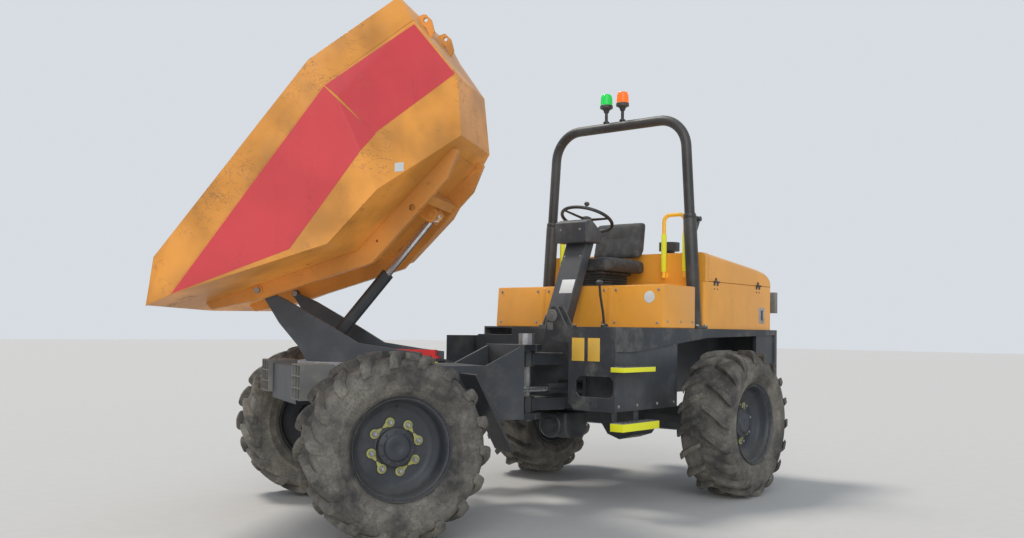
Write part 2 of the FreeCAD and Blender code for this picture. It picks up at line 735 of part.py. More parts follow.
def hinge_pins():
    pins = []
    for side in (-1, 1):
        inner = side * (NECK_OUTER_Y - RAIL_PLATE - 12)
        outer = side * (BEAM_OUTER_Y + 22)
        pins.append(rod(V(HINGE_X, inner, HINGE_Z), V(HINGE_X, outer, HINGE_Z), HINGE_PIN_RADIUS, PIN_SIDES))
    return Part.makeCompound(pins)


# Rams
def ram_line():
    """Base and rod eye of the tip ram in the swivel frame, at the standing tip."""
    base = V(RAM_BASE_X, 0, RAM_BASE_Z)
    marker = Part.Vertex(V(RAM_EYE_X, 0, RAM_EYE_Z))
    marker.rotate(V(HINGE_X, 0, HINGE_Z), Y_AXIS, TIP)
    return base, marker.Point


def steering_eye():
    marker = Part.Vertex(V(STEER_EYE_X, STEER_EYE_Y, STEER_Z))
    marker.rotate(V(0, 0, 0), Z_AXIS, ARTICULATION)
    return marker.Point


def ram_barrel(base, eye, radius, length, eye_radius, eye_half, pin_radius, side):
    along = (eye - base).normalize()
    bore = radius * BARREL_BORE
    start = eye_radius * 0.8
    barrel = tube(base + along * start, base + along * length, radius, bore)
    end_cap = rod(base + along * start, base + along * (eye_radius + CYLINDER_END), radius)
    eye_boss = rod(base - side * eye_half, base + side * eye_half, eye_radius)
    shape = fuse([barrel, end_cap, eye_boss])
    return shape.cut(hole(base - side * 200, base + side * 200, pin_radius + PIN_GAP, PIN_SIDES))


def ram_rod(base, eye, radius, piston_at, eye_radius, eye_half, bore, side):
    """The piston, rod and eye; the eye carries its pin, which stops short of the lugs."""
    along = (eye - base).normalize()
    start = base + along * piston_at
    shaft = rod(start, eye - along * (eye_radius * 0.8), radius)
    piston = rod(start, start + along * PISTON_LENGTH, bore - FIT_GAP)
    eye_boss = rod(eye - side * eye_half, eye + side * eye_half, eye_radius)
    return fuse([shaft, piston, eye_boss])


# Rear unit
def rear_frame():
    inner = REAR_RAIL_Y - RAIL_PLATE
    arch_z = TYRE_RADIUS + DIFF_RADIUS + FIT_GAP
    top = REAR_TOP_Z - FIT_GAP
    rail = [
        (REAR_FRONT_X, REAR_BOTTOM_Z),
        (REAR_AXLE_X + 230, REAR_BOTTOM_Z),
        (REAR_AXLE_X + 200, arch_z),
        (REAR_END_X, arch_z),
        (REAR_END_X, top),
        (REAR_FRONT_X, top),
    ]
    plate = side_plate(rail, inner, REAR_RAIL_Y)
    front_wall = box(REAR_FRONT_X - RAIL_PLATE, REAR_FRONT_X, -REAR_RAIL_Y, REAR_RAIL_Y, REAR_BOTTOM_Z, top)
    bearings = []
    for z in (PIVOT_BOTTOM_Z + RUN_GAP, PIVOT_TOP_Z - RUN_GAP - PIVOT_BLOCK_HEIGHT):
        half = PIVOT_BLOCK_RADIUS
        arm = flat_plate([(REAR_FRONT_X, -150), (REAR_FRONT_X, 150), (0, half), (0, -half)],
                         z + 12, z + PIVOT_BLOCK_HEIGHT - 12)
        eye = rod(V(0, 0, z), V(0, 0, z + PIVOT_BLOCK_HEIGHT), PIVOT_BLOCK_RADIUS)
        bearings.append(fuse([arm, eye]).cut(hole(V(0, 0, 0), V(0, 0, 2000), PIVOT_PIN_RADIUS + FIT_GAP)))
    window = box(REAR_FRONT_X - RAIL_PLATE - 1, REAR_FRONT_X + 1, 90, inner, STEER_Z - STEER_WINDOW_HALF,
                 STEER_Z + STEER_WINDOW_HALF)
    front_wall = front_wall.cut(window)
    side_window = box(-420, REAR_FRONT_X - 60, inner - 1, REAR_RAIL_Y + 1, STEER_Z - 55, STEER_Z + 55)
    lugs = []
    for z in (STEER_Z + STEER_EYE_HALF + 3, STEER_Z - STEER_EYE_HALF - 3 - PLATE):
        lugs.append(box(STEER_BASE_X - 45, STEER_BASE_X + 18, STEER_BASE_Y - 38, inner, z, z + PLATE))
    lugs.append(rod(V(STEER_BASE_X, STEER_BASE_Y, STEER_Z - 50), V(STEER_BASE_X, STEER_BASE_Y, STEER_Z + 50),
                    STEER_PIN_RADIUS, PIN_SIDES))
    cradle = box(REAR_AXLE_X - 110, REAR_AXLE_X + 110, -inner, inner, arch_z, arch_z + 30)
    bearers = []
    for x in (ENGINE_REAR_X + 80, ENGINE_FRONT_X - 140):
        bearers.append(box(x, x + 60, -inner - 5, inner + 5, ENGINE_BOTTOM_Z - 60, ENGINE_BOTTOM_Z - FIT_GAP))
    return fuse([plate.cut(side_window), mirror_y(plate), front_wall, cradle] + bearings + lugs + bearers)


def deck():
    outline = [
        (DECK_FRONT_X, DECK_NOTCH_HALF),
        (DECK_FRONT_X, DECK_HALF_WIDTH),
        (REAR_END_X, DECK_HALF_WIDTH),
        (REAR_END_X, -DECK_HALF_WIDTH),
        (DECK_RIGHT_FRONT_X, -DECK_HALF_WIDTH),
        (DECK_RIGHT_FRONT_X, -DECK_NOTCH_HALF),
        (DECK_NOTCH_X, -DECK_NOTCH_HALF),
        (DECK_NOTCH_X, DECK_NOTCH_HALF),
    ]
    plate = flat_plate(outline, REAR_TOP_Z, DECK_TOP_Z)
    plate = plate.cut(box(-2160, -1380, -300, 300, REAR_TOP_Z - 1, DECK_TOP_Z + 1))
    skirt = [
        (DECK_FRONT_X, REAR_TOP_Z),
        (DECK_FRONT_X, 1040),
        (-200, 1040),
        (-1190, 1135),
        (REAR_END_X, 1158),
        (REAR_END_X, REAR_TOP_Z),
    ]
    left = side_plate(skirt, DECK_HALF_WIDTH - PLATE, DECK_HALF_WIDTH)
    right = mirror_y(left).cut(box(DECK_RIGHT_FRONT_X, DECK_FRONT_X + 1, -1000, 0, 900, 1300))
    return fuse([plate, left, right, front_panel()] + deck_ears())


def front_panel():
    """The plate that closes the rear unit's front on the left, with a window for the steering ram."""
    outer_y = DECK_HALF_WIDTH
    outline = [
        (FRONT_PANEL_INNER_Y, REAR_TOP_Z),
        (outer_y, REAR_TOP_Z),
        (outer_y, FRONT_PANEL_BOTTOM_Z),
        (FRONT_PANEL_INNER_Y + 50, FRONT_PANEL_BOTTOM_Z),
        (FRONT_PANEL_INNER_Y, FRONT_PANEL_BOTTOM_Z + 50),
    ]
    cut = PANEL_CORNER_CUT
    high_y = outer_y - PANEL_WINDOW_INSET
    low_y = high_y - PANEL_WINDOW_WIDTH
    window = [
        (low_y, PANEL_WINDOW_LOW_Z + cut),
        (low_y, PANEL_WINDOW_HIGH_Z - cut),
        (low_y + cut, PANEL_WINDOW_HIGH_Z),
        (high_y - cut, PANEL_WINDOW_HIGH_Z),
        (high_y, PANEL_WINDOW_HIGH_Z - cut),
        (high_y, PANEL_WINDOW_LOW_Z + cut),
        (high_y - cut, PANEL_WINDOW_LOW_Z),
        (low_y + cut, PANEL_WINDOW_LOW_Z),
    ]
    plate = cross_plate(outline, DECK_FRONT_X - PLATE, DECK_FRONT_X)
    return plate.cut(cross_plate(window, DECK_FRONT_X - PLATE - 1, DECK_FRONT_X + 1))


def deck_ears():
    """Two upright plates beside the joint of the two units, which hold the work lamp."""
    rear_edge = DECK_NOTCH_HALF + 90
    outline = [
        (165, REAR_TOP_Z - 93),
        (215, REAR_TOP_Z + 112),
        (235, REAR_TOP_Z + 147),
        (275, REAR_TOP_Z + 147),
        (300, REAR_TOP_Z + 112),
        (DECK_NOTCH_HALF + 35, REAR_TOP_Z),
        (rear_edge, REAR_TOP_Z),
        (rear_edge, REAR_TOP_Z - 93),
    ]
    front = cross_plate(outline, DECK_FRONT_X - PLATE, DECK_FRONT_X)
    back = cross_plate(outline, DECK_FRONT_X - DECK_EAR_GAP - PLATE, DECK_FRONT_X - DECK_EAR_GAP)
    return [front, back]


def wheel_arches():
    top = REAR_TOP_Z - FIT_GAP
    arch = box(-1960, -1190, REAR_RAIL_Y + FIT_GAP, DECK_HALF_WIDTH - PLATE - FIT_GAP, top - 8, top)
    return both_sides(arch)


def tail_plate():
    front = REAR_END_X - FIT_GAP
    block = box(REAR_END_X - 40, front, -DECK_HALF_WIDTH, DECK_HALF_WIDTH, TAIL_BOTTOM_Z, TAIL_TOP_Z)
    outline = [(-1990, 1155), (-1990, 940), (-2190, TAIL_BOTTOM_Z), (front, TAIL_BOTTOM_Z), (front, 1155)]
    wing_shape = side_plate(outline, DECK_HALF_WIDTH - PLATE - 26, DECK_HALF_WIDTH - PLATE - FIT_GAP)
    jaw = []
    for z in (TOW_Z + 100, TOW_Z + 190):
        jaw.append(box(REAR_END_X - 130, REAR_END_X - 40, -60, 60, z, z + 20))
    shape = fuse([block, wing_shape, mirror_y(wing_shape)] + jaw)
    shape = shape.cut(hole(V(TOW_X, 0, TOW_Z + 180), V(TOW_X, 0, TOW_Z + 220), TOW_PIN_RADIUS))
    return shape.cut(round_hole(V(TOW_X, 0, TOW_Z + 90), V(TOW_X, 0, TOW_Z + 130), TOW_PIN_RADIUS))


def tank(side, x0, x1, z1):
    body = box(x0, x1, REAR_RAIL_Y + FIT_GAP, TANK_OUTER_Y, TANK_BOTTOM_Z, z1)
    edges = []
    for edge in body.Edges:
        first, last = (vertex.Point for vertex in edge.Vertexes)
        if abs(first.x - last.x) > 10 and first.y > REAR_RAIL_Y + 10:
            edges.append(edge)
    body = body.makeFillet(TANK_EDGE_RADIUS, edges)
    return body if side > 0 else mirror_y(body)


def steps():
    """Two treads a side: the upper one on the tank's side, the lower one hung from the tank's floor."""
    inner_y = TANK_OUTER_Y + FIT_GAP
    notch_x = DECK_FRONT_X - PLATE - FIT_GAP
    outline = [
        (STEP_REAR_X, inner_y),
        (STEP_REAR_X, STEP_OUTER_Y),
        (STEP_FRONT_X, STEP_OUTER_Y),
        (STEP_FRONT_X, DECK_HALF_WIDTH + FIT_GAP),
        (notch_x, DECK_HALF_WIDTH + FIT_GAP),
        (notch_x, inner_y),
    ]
    treads = []
    for z in STEP_HEIGHTS:
        tray = flat_plate(outline, z, z + STEP_THICKNESS)
        kerb = box(STEP_REAR_X, STEP_FRONT_X, STEP_OUTER_Y - PLATE, STEP_OUTER_Y, z - STEP_KERB, z + STEP_THICKNESS)
        treads.append(tray.fuse(kerb))
    low_z = STEP_HEIGHTS[0]
    hanger_y = TANK_OUTER_Y - 60
    foot = box(STEP_HANGER_X, STEP_HANGER_X + STEP_HANGER_WIDTH, hanger_y, inner_y + 1, low_z, low_z + STEP_THICKNESS)
    upright = box(STEP_HANGER_X, STEP_HANGER_X + STEP_HANGER_WIDTH, hanger_y, hanger_y + PLATE, low_z,
                  TANK_BOTTOM_Z - FIT_GAP)
    treads[0] = fuse([treads[0], foot, upright])
    left = Part.makeCompound(treads)
    right = mirror_y(left)
    right.translate(V(STEP_RIGHT_SHIFT, 0, 0))
    return Part.makeCompound(left.Solids + right.Solids)


def seat_plinth():
    profile = [
        (PLINTH_FRONT_X - 35, DECK_TOP_Z + 60),
        (PLINTH_FRONT_X - 140, PLINTH_TOP_Z),
        (HOOD_FRONT_X + FIT_GAP, PLINTH_TOP_Z),
        (HOOD_FRONT_X + FIT_GAP, DECK_TOP_Z + FIT_GAP),
        (PLINTH_FRONT_X - 80, DECK_TOP_Z + FIT_GAP),
    ]
    outer = side_plate(profile, -PLINTH_HALF_WIDTH, PLINTH_HALF_WIDTH)
    inner = box(HOOD_FRONT_X - 1, PLINTH_FRONT_X - 146, -PLINTH_HALF_WIDTH + 6, PLINTH_HALF_WIDTH - 6,
                DECK_TOP_Z - 1, PLINTH_TOP_Z - 6)
    return outer.cut(inner)


def hood_section(front_x, inset):
    """Side outline of the upper engine cover, moved inwards by inset."""
    return [
        (front_x, HOOD_SPLIT_Z + 2),
        (front_x, HOOD_TOP_FRONT_Z - inset),
        (-1920, 1700 - inset),
        (-2200, HOOD_TOP_REAR_Z - inset),
        (HOOD_REAR_X + 15 + inset, 1620 - inset),
        (HOOD_REAR_X + 3 + inset, HOOD_SPLIT_Z + 2),
    ]


def cut_top(shape, width):
    """Cuts off the two long upper edges, which run from front to rear."""
    edges = []
    for edge in shape.Edges:
        first, last = (vertex.Point for vertex in edge.Vertexes)
        lengthwise = abs(first.y - last.y) < 1 and abs(first.x - last.x) > 10
        if lengthwise and min(first.z, last.z) > HOOD_SPLIT_Z + 40:
            edges.append(edge)
    return shape.makeChamfer(width, edges)


def hinge_bar(x0, x1, radius):
    return rod(V(x0, HOOD_HINGE_Y, HOOD_HINGE_Z), V(x1, HOOD_HINGE_Y, HOOD_HINGE_Z), radius, 6)


def hood_lower():
    top = HOOD_SPLIT_Z - 2
    base = DECK_TOP_Z + FIT_GAP
    profile = [(HOOD_FRONT_X, base), (HOOD_FRONT_X, top), (HOOD_REAR_X, top), (HOOD_REAR_X, base)]
    outer = side_plate(profile, -HOOD_HALF_WIDTH, HOOD_HALF_WIDTH)
    cavity = box(HOOD_REAR_X + 20, HOOD_FRONT_X - HOOD_SHEET, -HOOD_HALF_WIDTH + HOOD_SHEET,
                 HOOD_HALF_WIDTH - HOOD_SHEET, base - 1, top + 1)
    parts = [outer.cut(cavity)]
    y = HOOD_HALF_WIDTH
    for x in HOOD_HINGE_XS:
        for x0, x1 in ((x - 36, x - 13), (x + 13, x + 36)):
            parts.append(box(x0, x1, y, y + 4, HOOD_HINGE_Z - 28, HOOD_HINGE_Z - 2))
            parts.append(hinge_bar(x0, x1, HOOD_HINGE_RADIUS))
        parts.append(hinge_bar(x - 36, x + 36, HOOD_HINGE_PIN))
    return fuse(parts)


def hood_front():
    """The fixed bulkhead behind the seat, which closes the front of the engine cover."""
    rear_x = HOOD_FRONT_X - HOOD_FRONT_DEPTH
    drop = (HOOD_TOP_FRONT_Z - 1700) * HOOD_FRONT_DEPTH / 730
    bottom = HOOD_SPLIT_Z - 2 + FIT_GAP
    profile = [(HOOD_FRONT_X, bottom), (HOOD_FRONT_X, HOOD_TOP_FRONT_Z), (rear_x, HOOD_TOP_FRONT_Z - drop),
               (rear_x, bottom)]
    outer = side_plate(profile, -HOOD_HALF_WIDTH, HOOD_HALF_WIDTH)
    outer = cut_top(outer, HOOD_EDGE_CUT)
    return outer.cut(box(rear_x - 1, HOOD_FRONT_X - HOOD_SHEET, -HOOD_HALF_WIDTH + 45, HOOD_HALF_WIDTH - 45,
                         HOOD_SPLIT_Z - 1, HOOD_TOP_FRONT_Z - 60))


def hood_lid():
    front_x = HOOD_FRONT_X - HOOD_FRONT_DEPTH - RUN_GAP
    outer = cut_top(side_plate(hood_section(front_x, 0), -HOOD_HALF_WIDTH, HOOD_HALF_WIDTH), HOOD_EDGE_CUT)
    half = HOOD_HALF_WIDTH - HOOD_SHEET
    inner = cut_top(side_plate(hood_section(front_x + 10, HOOD_SHEET), -half, half), HOOD_EDGE_CUT - HOOD_SHEET)
    skirt = box(HOOD_REAR_X + 30, front_x + 10, -half, half, HOOD_SPLIT_Z - 1, HOOD_SPLIT_Z + 10)
    lid = outer.cut(inner).cut(skirt)
    cleaner_hole = hole(V(-1720, 100, 1500), V(-1720, 100, 2000), 45 * math.cos(math.pi / ROD_SIDES) + FIT_GAP)
    parts = [lid.cut(cleaner_hole)]
    for x in HOOD_HINGE_XS:
        parts.append(box(x - 12, x + 12, HOOD_HALF_WIDTH - 1, HOOD_HALF_WIDTH + 5, HOOD_HINGE_Z + 3,
                         HOOD_HINGE_Z + 30))
        parts.append(hinge_bar(x - 12, x + 12, HOOD_HINGE_RADIUS))
    pin_bore = hole(V(HOOD_REAR_X, HOOD_HINGE_Y, HOOD_HINGE_Z), V(HOOD_FRONT_X, HOOD_HINGE_Y, HOOD_HINGE_Z),
                    HOOD_HINGE_PIN + FIT_GAP, 6)
    return fuse(parts).cut(pin_bore)


def engine_block():
    return box(ENGINE_REAR_X, ENGINE_FRONT_X, -260, 260, ENGINE_BOTTOM_Z, ENGINE_TOP_Z)


def air_cleaner_cap():
    foot = V(-1720, 100, 1640)
    stem = rod(foot, foot + V(0, 0, 200), 45)
    cap = rod(foot + V(0, 0, 190), foot + V(0, 0, 260), 85)
    collar = tube(foot + V(0, 0, 90), foot + V(0, 0, 100), 62, 40)
    return fuse([stem, cap, collar])


def seat_base():
    lower = box(SEAT_X - 190, SEAT_X + 190, -PLINTH_HALF_WIDTH + 10, PLINTH_HALF_WIDTH - 10,
                PLINTH_TOP_Z + FIT_GAP, PLINTH_TOP_Z + 110)
    return lower


def seat_cushion():
    return box(SEAT_X - 270, SEAT_X + 215, -SEAT_HALF_WIDTH, SEAT_HALF_WIDTH, PLINTH_TOP_Z + 110 + FIT_GAP,
               PLINTH_TOP_Z + 220)


def seat_back():
    bottom = PLINTH_TOP_Z + 220 + FIT_GAP
    points = [(-1050, bottom), (-1120, 2030), (-1210, 2030), (-1180, HOOD_TOP_FRONT_Z + 10), (-1130, bottom)]
    return side_plate(points, -SEAT_HALF_WIDTH + 10, SEAT_HALF_WIDTH - 10)


def console():
    base = DECK_TOP_Z + FIT_GAP
    top = PANEL_BOTTOM_Z - FIT_GAP
    profile = [(-300, base), (-565, top), (-665, top), (-400, base)]
    pillar = side_plate(profile, -CONSOLE_HALF_WIDTH, CONSOLE_HALF_WIDTH)
    foot = box(-440, -270, -CONSOLE_HALF_WIDTH - 15, CONSOLE_HALF_WIDTH + 15, base, base + PLATE)
    return fuse([pillar, foot])


def instrument_panel():
    z = PANEL_BOTTOM_Z
    points = [(-500, z), (-490, 1960), (-560, 1985), (-690, 1900), (-680, z)]
    panel = side_plate(points, -PANEL_HALF_WIDTH, PANEL_HALF_WIDTH)
    top, bottom = wheel_stem()
    return panel.cut(hole(bottom, top, WHEEL_STEM_RADIUS + FIT_GAP))


def wheel_stem():
    centre = V(WHEEL_X, 0, WHEEL_Z)
    return centre, centre - WHEEL_AXIS * 130


def steering_wheel():
    centre, stem_end = wheel_stem()
    axis = WHEEL_AXIS
    section = [(WHEEL_RADIUS + WHEEL_TUBE * math.cos(turn), WHEEL_TUBE * math.sin(turn))
               for turn in (math.radians(72 * step) for step in range(5))]
    ring = turned(section, 16)
    ring.Placement = FreeCAD.Placement(centre, FreeCAD.Rotation(Y_AXIS, axis))
    hub = rod(centre - axis * 30, centre + axis * 12, 42)
    stem = rod(stem_end, centre - axis * 20, WHEEL_STEM_RADIUS)
    across = axis.cross(Y_AXIS).normalize()
    parts = [ring, hub, stem]
    for angle in (90, 210, 330):
        direction = Y_AXIS * math.cos(math.radians(angle)) + across * math.sin(math.radians(angle))
        parts.append(rod(centre - axis * 6, centre + direction * WHEEL_RADIUS, 9, 5))
    return fuse(parts)


def hoop_half_at(z):
    ratio = (z - DECK_TOP_Z) / (HOOP_TOP_Z - DECK_TOP_Z)
    return HOOP_BASE_HALF + (HOOP_TOP_HALF - HOOP_BASE_HALF) * ratio


def roll_posts():
    y = hoop_half_at(HOOP_FOLD_Z)
    foot = V(HOOP_X, HOOP_BASE_HALF, DECK_TOP_Z + 5)
    post = rod(foot, V(HOOP_X, y, HOOP_FOLD_Z), HOOP_POST)
    base = box(HOOP_X - 75, HOOP_X + 75, HOOP_BASE_HALF - 70, DECK_HALF_WIDTH - 5, DECK_TOP_Z + FIT_GAP,
               DECK_TOP_Z + 20)
    pin_x = HOOP_X - FOLD_PIN_BACK
    parts = [post, base]
    for offset in (-1, 1):
        near, far = sorted((y + offset * (FOLD_LUG / 2 + RUN_GAP), y + offset * (FOLD_LUG * 1.5 + RUN_GAP)))
        outline = [
            (HOOP_X - 20, HOOP_FOLD_Z - 160),
            (pin_x - 20, HOOP_FOLD_Z - 25),
            (pin_x - 20, HOOP_FOLD_Z + 20),
            (pin_x + 20, HOOP_FOLD_Z + 20),
            (HOOP_X - 20, HOOP_FOLD_Z - 30),
        ]
        parts.append(side_plate(outline, near, far))
    parts.append(rod(V(pin_x, y - 40, HOOP_FOLD_Z), V(pin_x, y + 40, HOOP_FOLD_Z), FOLD_PIN_RADIUS))
    return both_sides(fuse(parts))


def roll_hoop():
    z0 = HOOP_FOLD_Z + FIT_GAP
    y0 = hoop_half_at(z0)
    top = HOOP_TOP_Z - HOOP_TUBE
    points = [V(HOOP_X, y0, z0), V(HOOP_X, HOOP_TOP_HALF, top), V(HOOP_X, -HOOP_TOP_HALF, top), V(HOOP_X, -y0, z0)]
    parts = [bent_tube(points, HOOP_TUBE, HOOP_CORNER, HOOP_SIDES)]
    pin_x = HOOP_X - FOLD_PIN_BACK
    for side in (-1, 1):
        y = side * y0
        outline = [
            (HOOP_X - 20, z0 + 8),
            (HOOP_X - 54, z0 + 2),
            (pin_x + 12, z0 - 22),
            (pin_x - 18, z0 - 18),
            (pin_x - 24, z0),
            (pin_x - 10, z0 + 26),
            (HOOP_X - 20, z0 + 90),
        ]
        parts.append(side_plate(outline, y - FOLD_LUG / 2, y + FOLD_LUG / 2))
    hoop = fuse(parts)
    return hoop.cut(hole(V(pin_x, -1000, HOOP_FOLD_Z), V(pin_x, 1000, HOOP_FOLD_Z), FOLD_PIN_RADIUS + FIT_GAP))


def beacon(y):
    z = HOOP_TOP_Z - HOOP_TUBE * (1 - math.cos(math.pi / HOOP_SIDES)) + FIT_GAP
    stem = rod(V(HOOP_X, y, z), V(HOOP_X, y, z + 110), 12, 6)
    base = rod(V(HOOP_X, y, z + 110), V(HOOP_X, y, z + 140), 50)
    lens = rod(V(HOOP_X, y, z + 140), V(HOOP_X, y, z + 230), 46)
    return fuse([stem, base, lens])


def hand_rail():
    x = HOOD_FRONT_X + 30
    points = [V(x, 385, 1580), V(x, 385, 2050), V(x, 565, 2050), V(x, 565, 1580)]
    rail = bent_tube(points, 15, 50, 6)
    parts = [rail]
    for y in (385, 565):
        parts.append(rod(V(HOOD_FRONT_X + FIT_GAP, y, 1600), V(x, y, 1600), 12, 6))
    return both_sides(fuse(parts))


def rear_lamp():
    x = HOOD_REAR_X - 12
    bracket = box(x - 30, HOOD_REAR_X - FIT_GAP, 600, 700, 1420, 1500)
    lamp = box(x - 80, x - 30, 560, 730, 1340, 1510)
    return both_sides(fuse([bracket, lamp]))


def build():
    nodes = {}
    for name, x, side, frame in (
        ("front_left", FRONT_AXLE_X, 1, front),
        ("front_right", FRONT_AXLE_X, -1, front),
        ("rear_left", REAR_AXLE_X, 1, rear),
        ("rear_right", REAR_AXLE_X, -1, rear),
    ):
        nodes["tyre_" + name] = frame(wheel_pose(tyre(), x, side))
        nodes["rim_" + name] = frame(wheel_pose(rim(), x, side))
    nodes["front_axle"] = front(axle(FRONT_AXLE_X))
    nodes["rear_axle"] = rear(axle(REAR_AXLE_X))

    nodes["front_frame"] = front(front_frame())
    nodes["pivot_pin"] = front(pivot_pin())
    nodes["front_mudguards"] = front(front_wings())
    nodes["front_lamps"] = front(both_sides(lamp_guard()))
    nodes["slew_ring"] = front(slew_ring())

    nodes["swan_neck"] = swivel(swan_neck())
    nodes["safety_prop"] = swivel(safety_prop())
    nodes["skip_shell"] = skip(skip_shell())
    nodes["skip_underframe"] = skip(skip_beams())
    nodes["lifting_eyes"] = skip(lifting_eyes())
    nodes["hinge_pins"] = skip(hinge_pins())

    base, eye = ram_line()
    nodes["tip_barrel"] = swivel(ram_barrel(base, eye, RAM_BARREL_RADIUS, RAM_BARREL_LENGTH, RAM_EYE_RADIUS,
                                            RAM_EYE_HALF, RAM_PIN_RADIUS, Y_AXIS))
    nodes["tip_rod"] = swivel(ram_rod(base, eye, RAM_ROD_RADIUS, RAM_PISTON_AT, RAM_EYE_RADIUS,
                                      RAM_EYE_HALF, RAM_BARREL_RADIUS * BARREL_BORE, Y_AXIS))

    steer_base = V(STEER_BASE_X, STEER_BASE_Y, STEER_Z)
    steer_eye = steering_eye()
    nodes["steer_barrel"] = ram_barrel(steer_base, steer_eye, STEER_BARREL_RADIUS, STEER_BARREL_LENGTH,
                                       STEER_EYE_RADIUS, STEER_EYE_HALF, STEER_PIN_RADIUS, Z_AXIS)
    nodes["steer_rod"] = ram_rod(steer_base, steer_eye, STEER_ROD_RADIUS, STEER_PISTON_AT, STEER_EYE_RADIUS,
                                 STEER_EYE_HALF, STEER_BARREL_RADIUS * BARREL_BORE, Z_AXIS)

    nodes["rear_frame"] = rear_frame()
    nodes["deck"] = deck()
    nodes["wheel_arches"] = wheel_arches()
    nodes["tail_plate"] = tail_plate()
    nodes["hydraulic_tank"] = tank(1, TANK_REAR_X, TANK_FRONT_X, 1140)
    nodes["fuel_tank"] = tank(-1, TANK_REAR_X, TANK_RIGHT_FRONT_X, 1140)
    nodes["steps"] = steps()
    nodes["seat_plinth"] = seat_plinth()
    nodes["hood_lower"] = hood_lower()
    nodes["hood_front"] = hood_front()
    nodes["hood_lid"] = hood_lid()
    nodes["engine_block"] = engine_block()
    nodes["air_cleaner_cap"] = air_cleaner_cap()
    nodes["seat_base"] = seat_base()
    nodes["seat_cushion"] = seat_cushion()
    nodes["seat_back"] = seat_back()
    nodes["console"] = console()
    nodes["instrument_panel"] = instrument_panel()
    nodes["steering_wheel"] = steering_wheel()
    nodes["roll_posts"] = roll_posts()
    nodes["roll_hoop"] = roll_hoop()
    nodes["beacons"] = Part.makeCompound([beacon(-115), beacon(35)])
    nodes["hand_rails"] = hand_rail()
    nodes["rear_lamps"] = rear_lamp()
    return nodes


def main():
    os.makedirs("parts", exist_ok=True)
    nodes = build()
    bounds = FreeCAD.BoundBox()
    for shape in nodes.values():
        bounds.add(shape.optimalBoundingBox(False))
    shift = V(-bounds.Center.x, -bounds.Center.y, -bounds.ZMin)
    for name, shape in nodes.items():
        shape.translate(shift)
        shape.exportStep("parts/" + name + ".step")
        print(name, len(shape.Solids), shape.isValid(), round(shape.Volume / 1e9, 5))
    print("shift", shift)
    print("size", bounds.XLength, bounds.YLength, bounds.ZLength)


if __name__ == "__main__":
    main()
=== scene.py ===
# Looks of the site dumper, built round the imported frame.
# Metres. X is forward on the rear unit, Y is left, Z is up, and the floor is at Z = 0.
import json
import math
import random

import bmesh
import bpy
from mathutils import Matrix, Vector


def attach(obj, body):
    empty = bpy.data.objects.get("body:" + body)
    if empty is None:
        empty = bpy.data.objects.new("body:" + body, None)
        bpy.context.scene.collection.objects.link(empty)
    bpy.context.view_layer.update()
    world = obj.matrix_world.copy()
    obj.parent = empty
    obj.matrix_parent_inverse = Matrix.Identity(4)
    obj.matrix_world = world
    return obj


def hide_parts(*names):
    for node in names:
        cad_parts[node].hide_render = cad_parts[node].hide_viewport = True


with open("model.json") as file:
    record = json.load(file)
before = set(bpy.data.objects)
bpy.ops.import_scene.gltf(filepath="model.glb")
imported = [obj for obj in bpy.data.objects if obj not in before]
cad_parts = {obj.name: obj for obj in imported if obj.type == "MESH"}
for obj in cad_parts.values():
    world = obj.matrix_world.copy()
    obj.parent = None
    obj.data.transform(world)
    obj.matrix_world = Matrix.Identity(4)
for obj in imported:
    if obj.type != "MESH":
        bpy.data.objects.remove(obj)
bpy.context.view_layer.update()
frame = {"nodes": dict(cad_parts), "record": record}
NODES = frame["nodes"]
JOINTS = {joint["name"]: joint for joint in frame["record"]["behaviour"]["joints"]}


# Frames of the moving bodies as they stand
PIVOT = Vector(JOINTS["articulation"]["pos_m"])
SLEW = Vector(JOINTS["skip_swivel"]["pos_m"])
ARTICULATION = -25.7
SWIVEL = -38.0
TIP = 46.0
HINGE_LOCAL = Vector((0.485, 0.0, 1.395))
TYRE_RADIUS = 0.525
HALF_TRACK = 0.896
AXLE_X = {"front": 1.238, "rear": -1.311}

ORIGIN = Vector((PIVOT.x, PIVOT.y, 0.0))
REAR = Matrix.Translation(ORIGIN)
FRONT = REAR @ Matrix.Rotation(math.radians(ARTICULATION), 4, "Z")
SWING_TURN = math.radians(ARTICULATION + SWIVEL)
SWING = Matrix.Translation((SLEW.x, SLEW.y, 0.0)) @ Matrix.Rotation(SWING_TURN, 4, "Z")
SKIP = (
    SWING
    @ Matrix.Translation(HINGE_LOCAL)
    @ Matrix.Rotation(math.radians(TIP), 4, "Y")
    @ Matrix.Translation(-HINGE_LOCAL)
)


# Shader graphs written as plain arithmetic
class Value:
    """A socket of a shader graph, with arithmetic that adds the matching node."""

    def __init__(self, graph, socket):
        self.graph = graph
        self.socket = socket

    def _maths(self, operation, first, second=0.0):
        return self.graph.node("ShaderNodeMath", {0: first, 1: second}, operation=operation)

    def __add__(self, other):
        return self._maths("ADD", self, other)

    def __radd__(self, other):
        return self._maths("ADD", other, self)

    def __sub__(self, other):
        return self._maths("SUBTRACT", self, other)

    def __rsub__(self, other):
        return self._maths("SUBTRACT", other, self)

    def __mul__(self, other):
        return self._maths("MULTIPLY", self, other)

    def absolute(self):
        return self._maths("ABSOLUTE", self)

    def least(self, other):
        return self._maths("MINIMUM", self, other)

    def most(self, other):
        return self._maths("MAXIMUM", self, other)


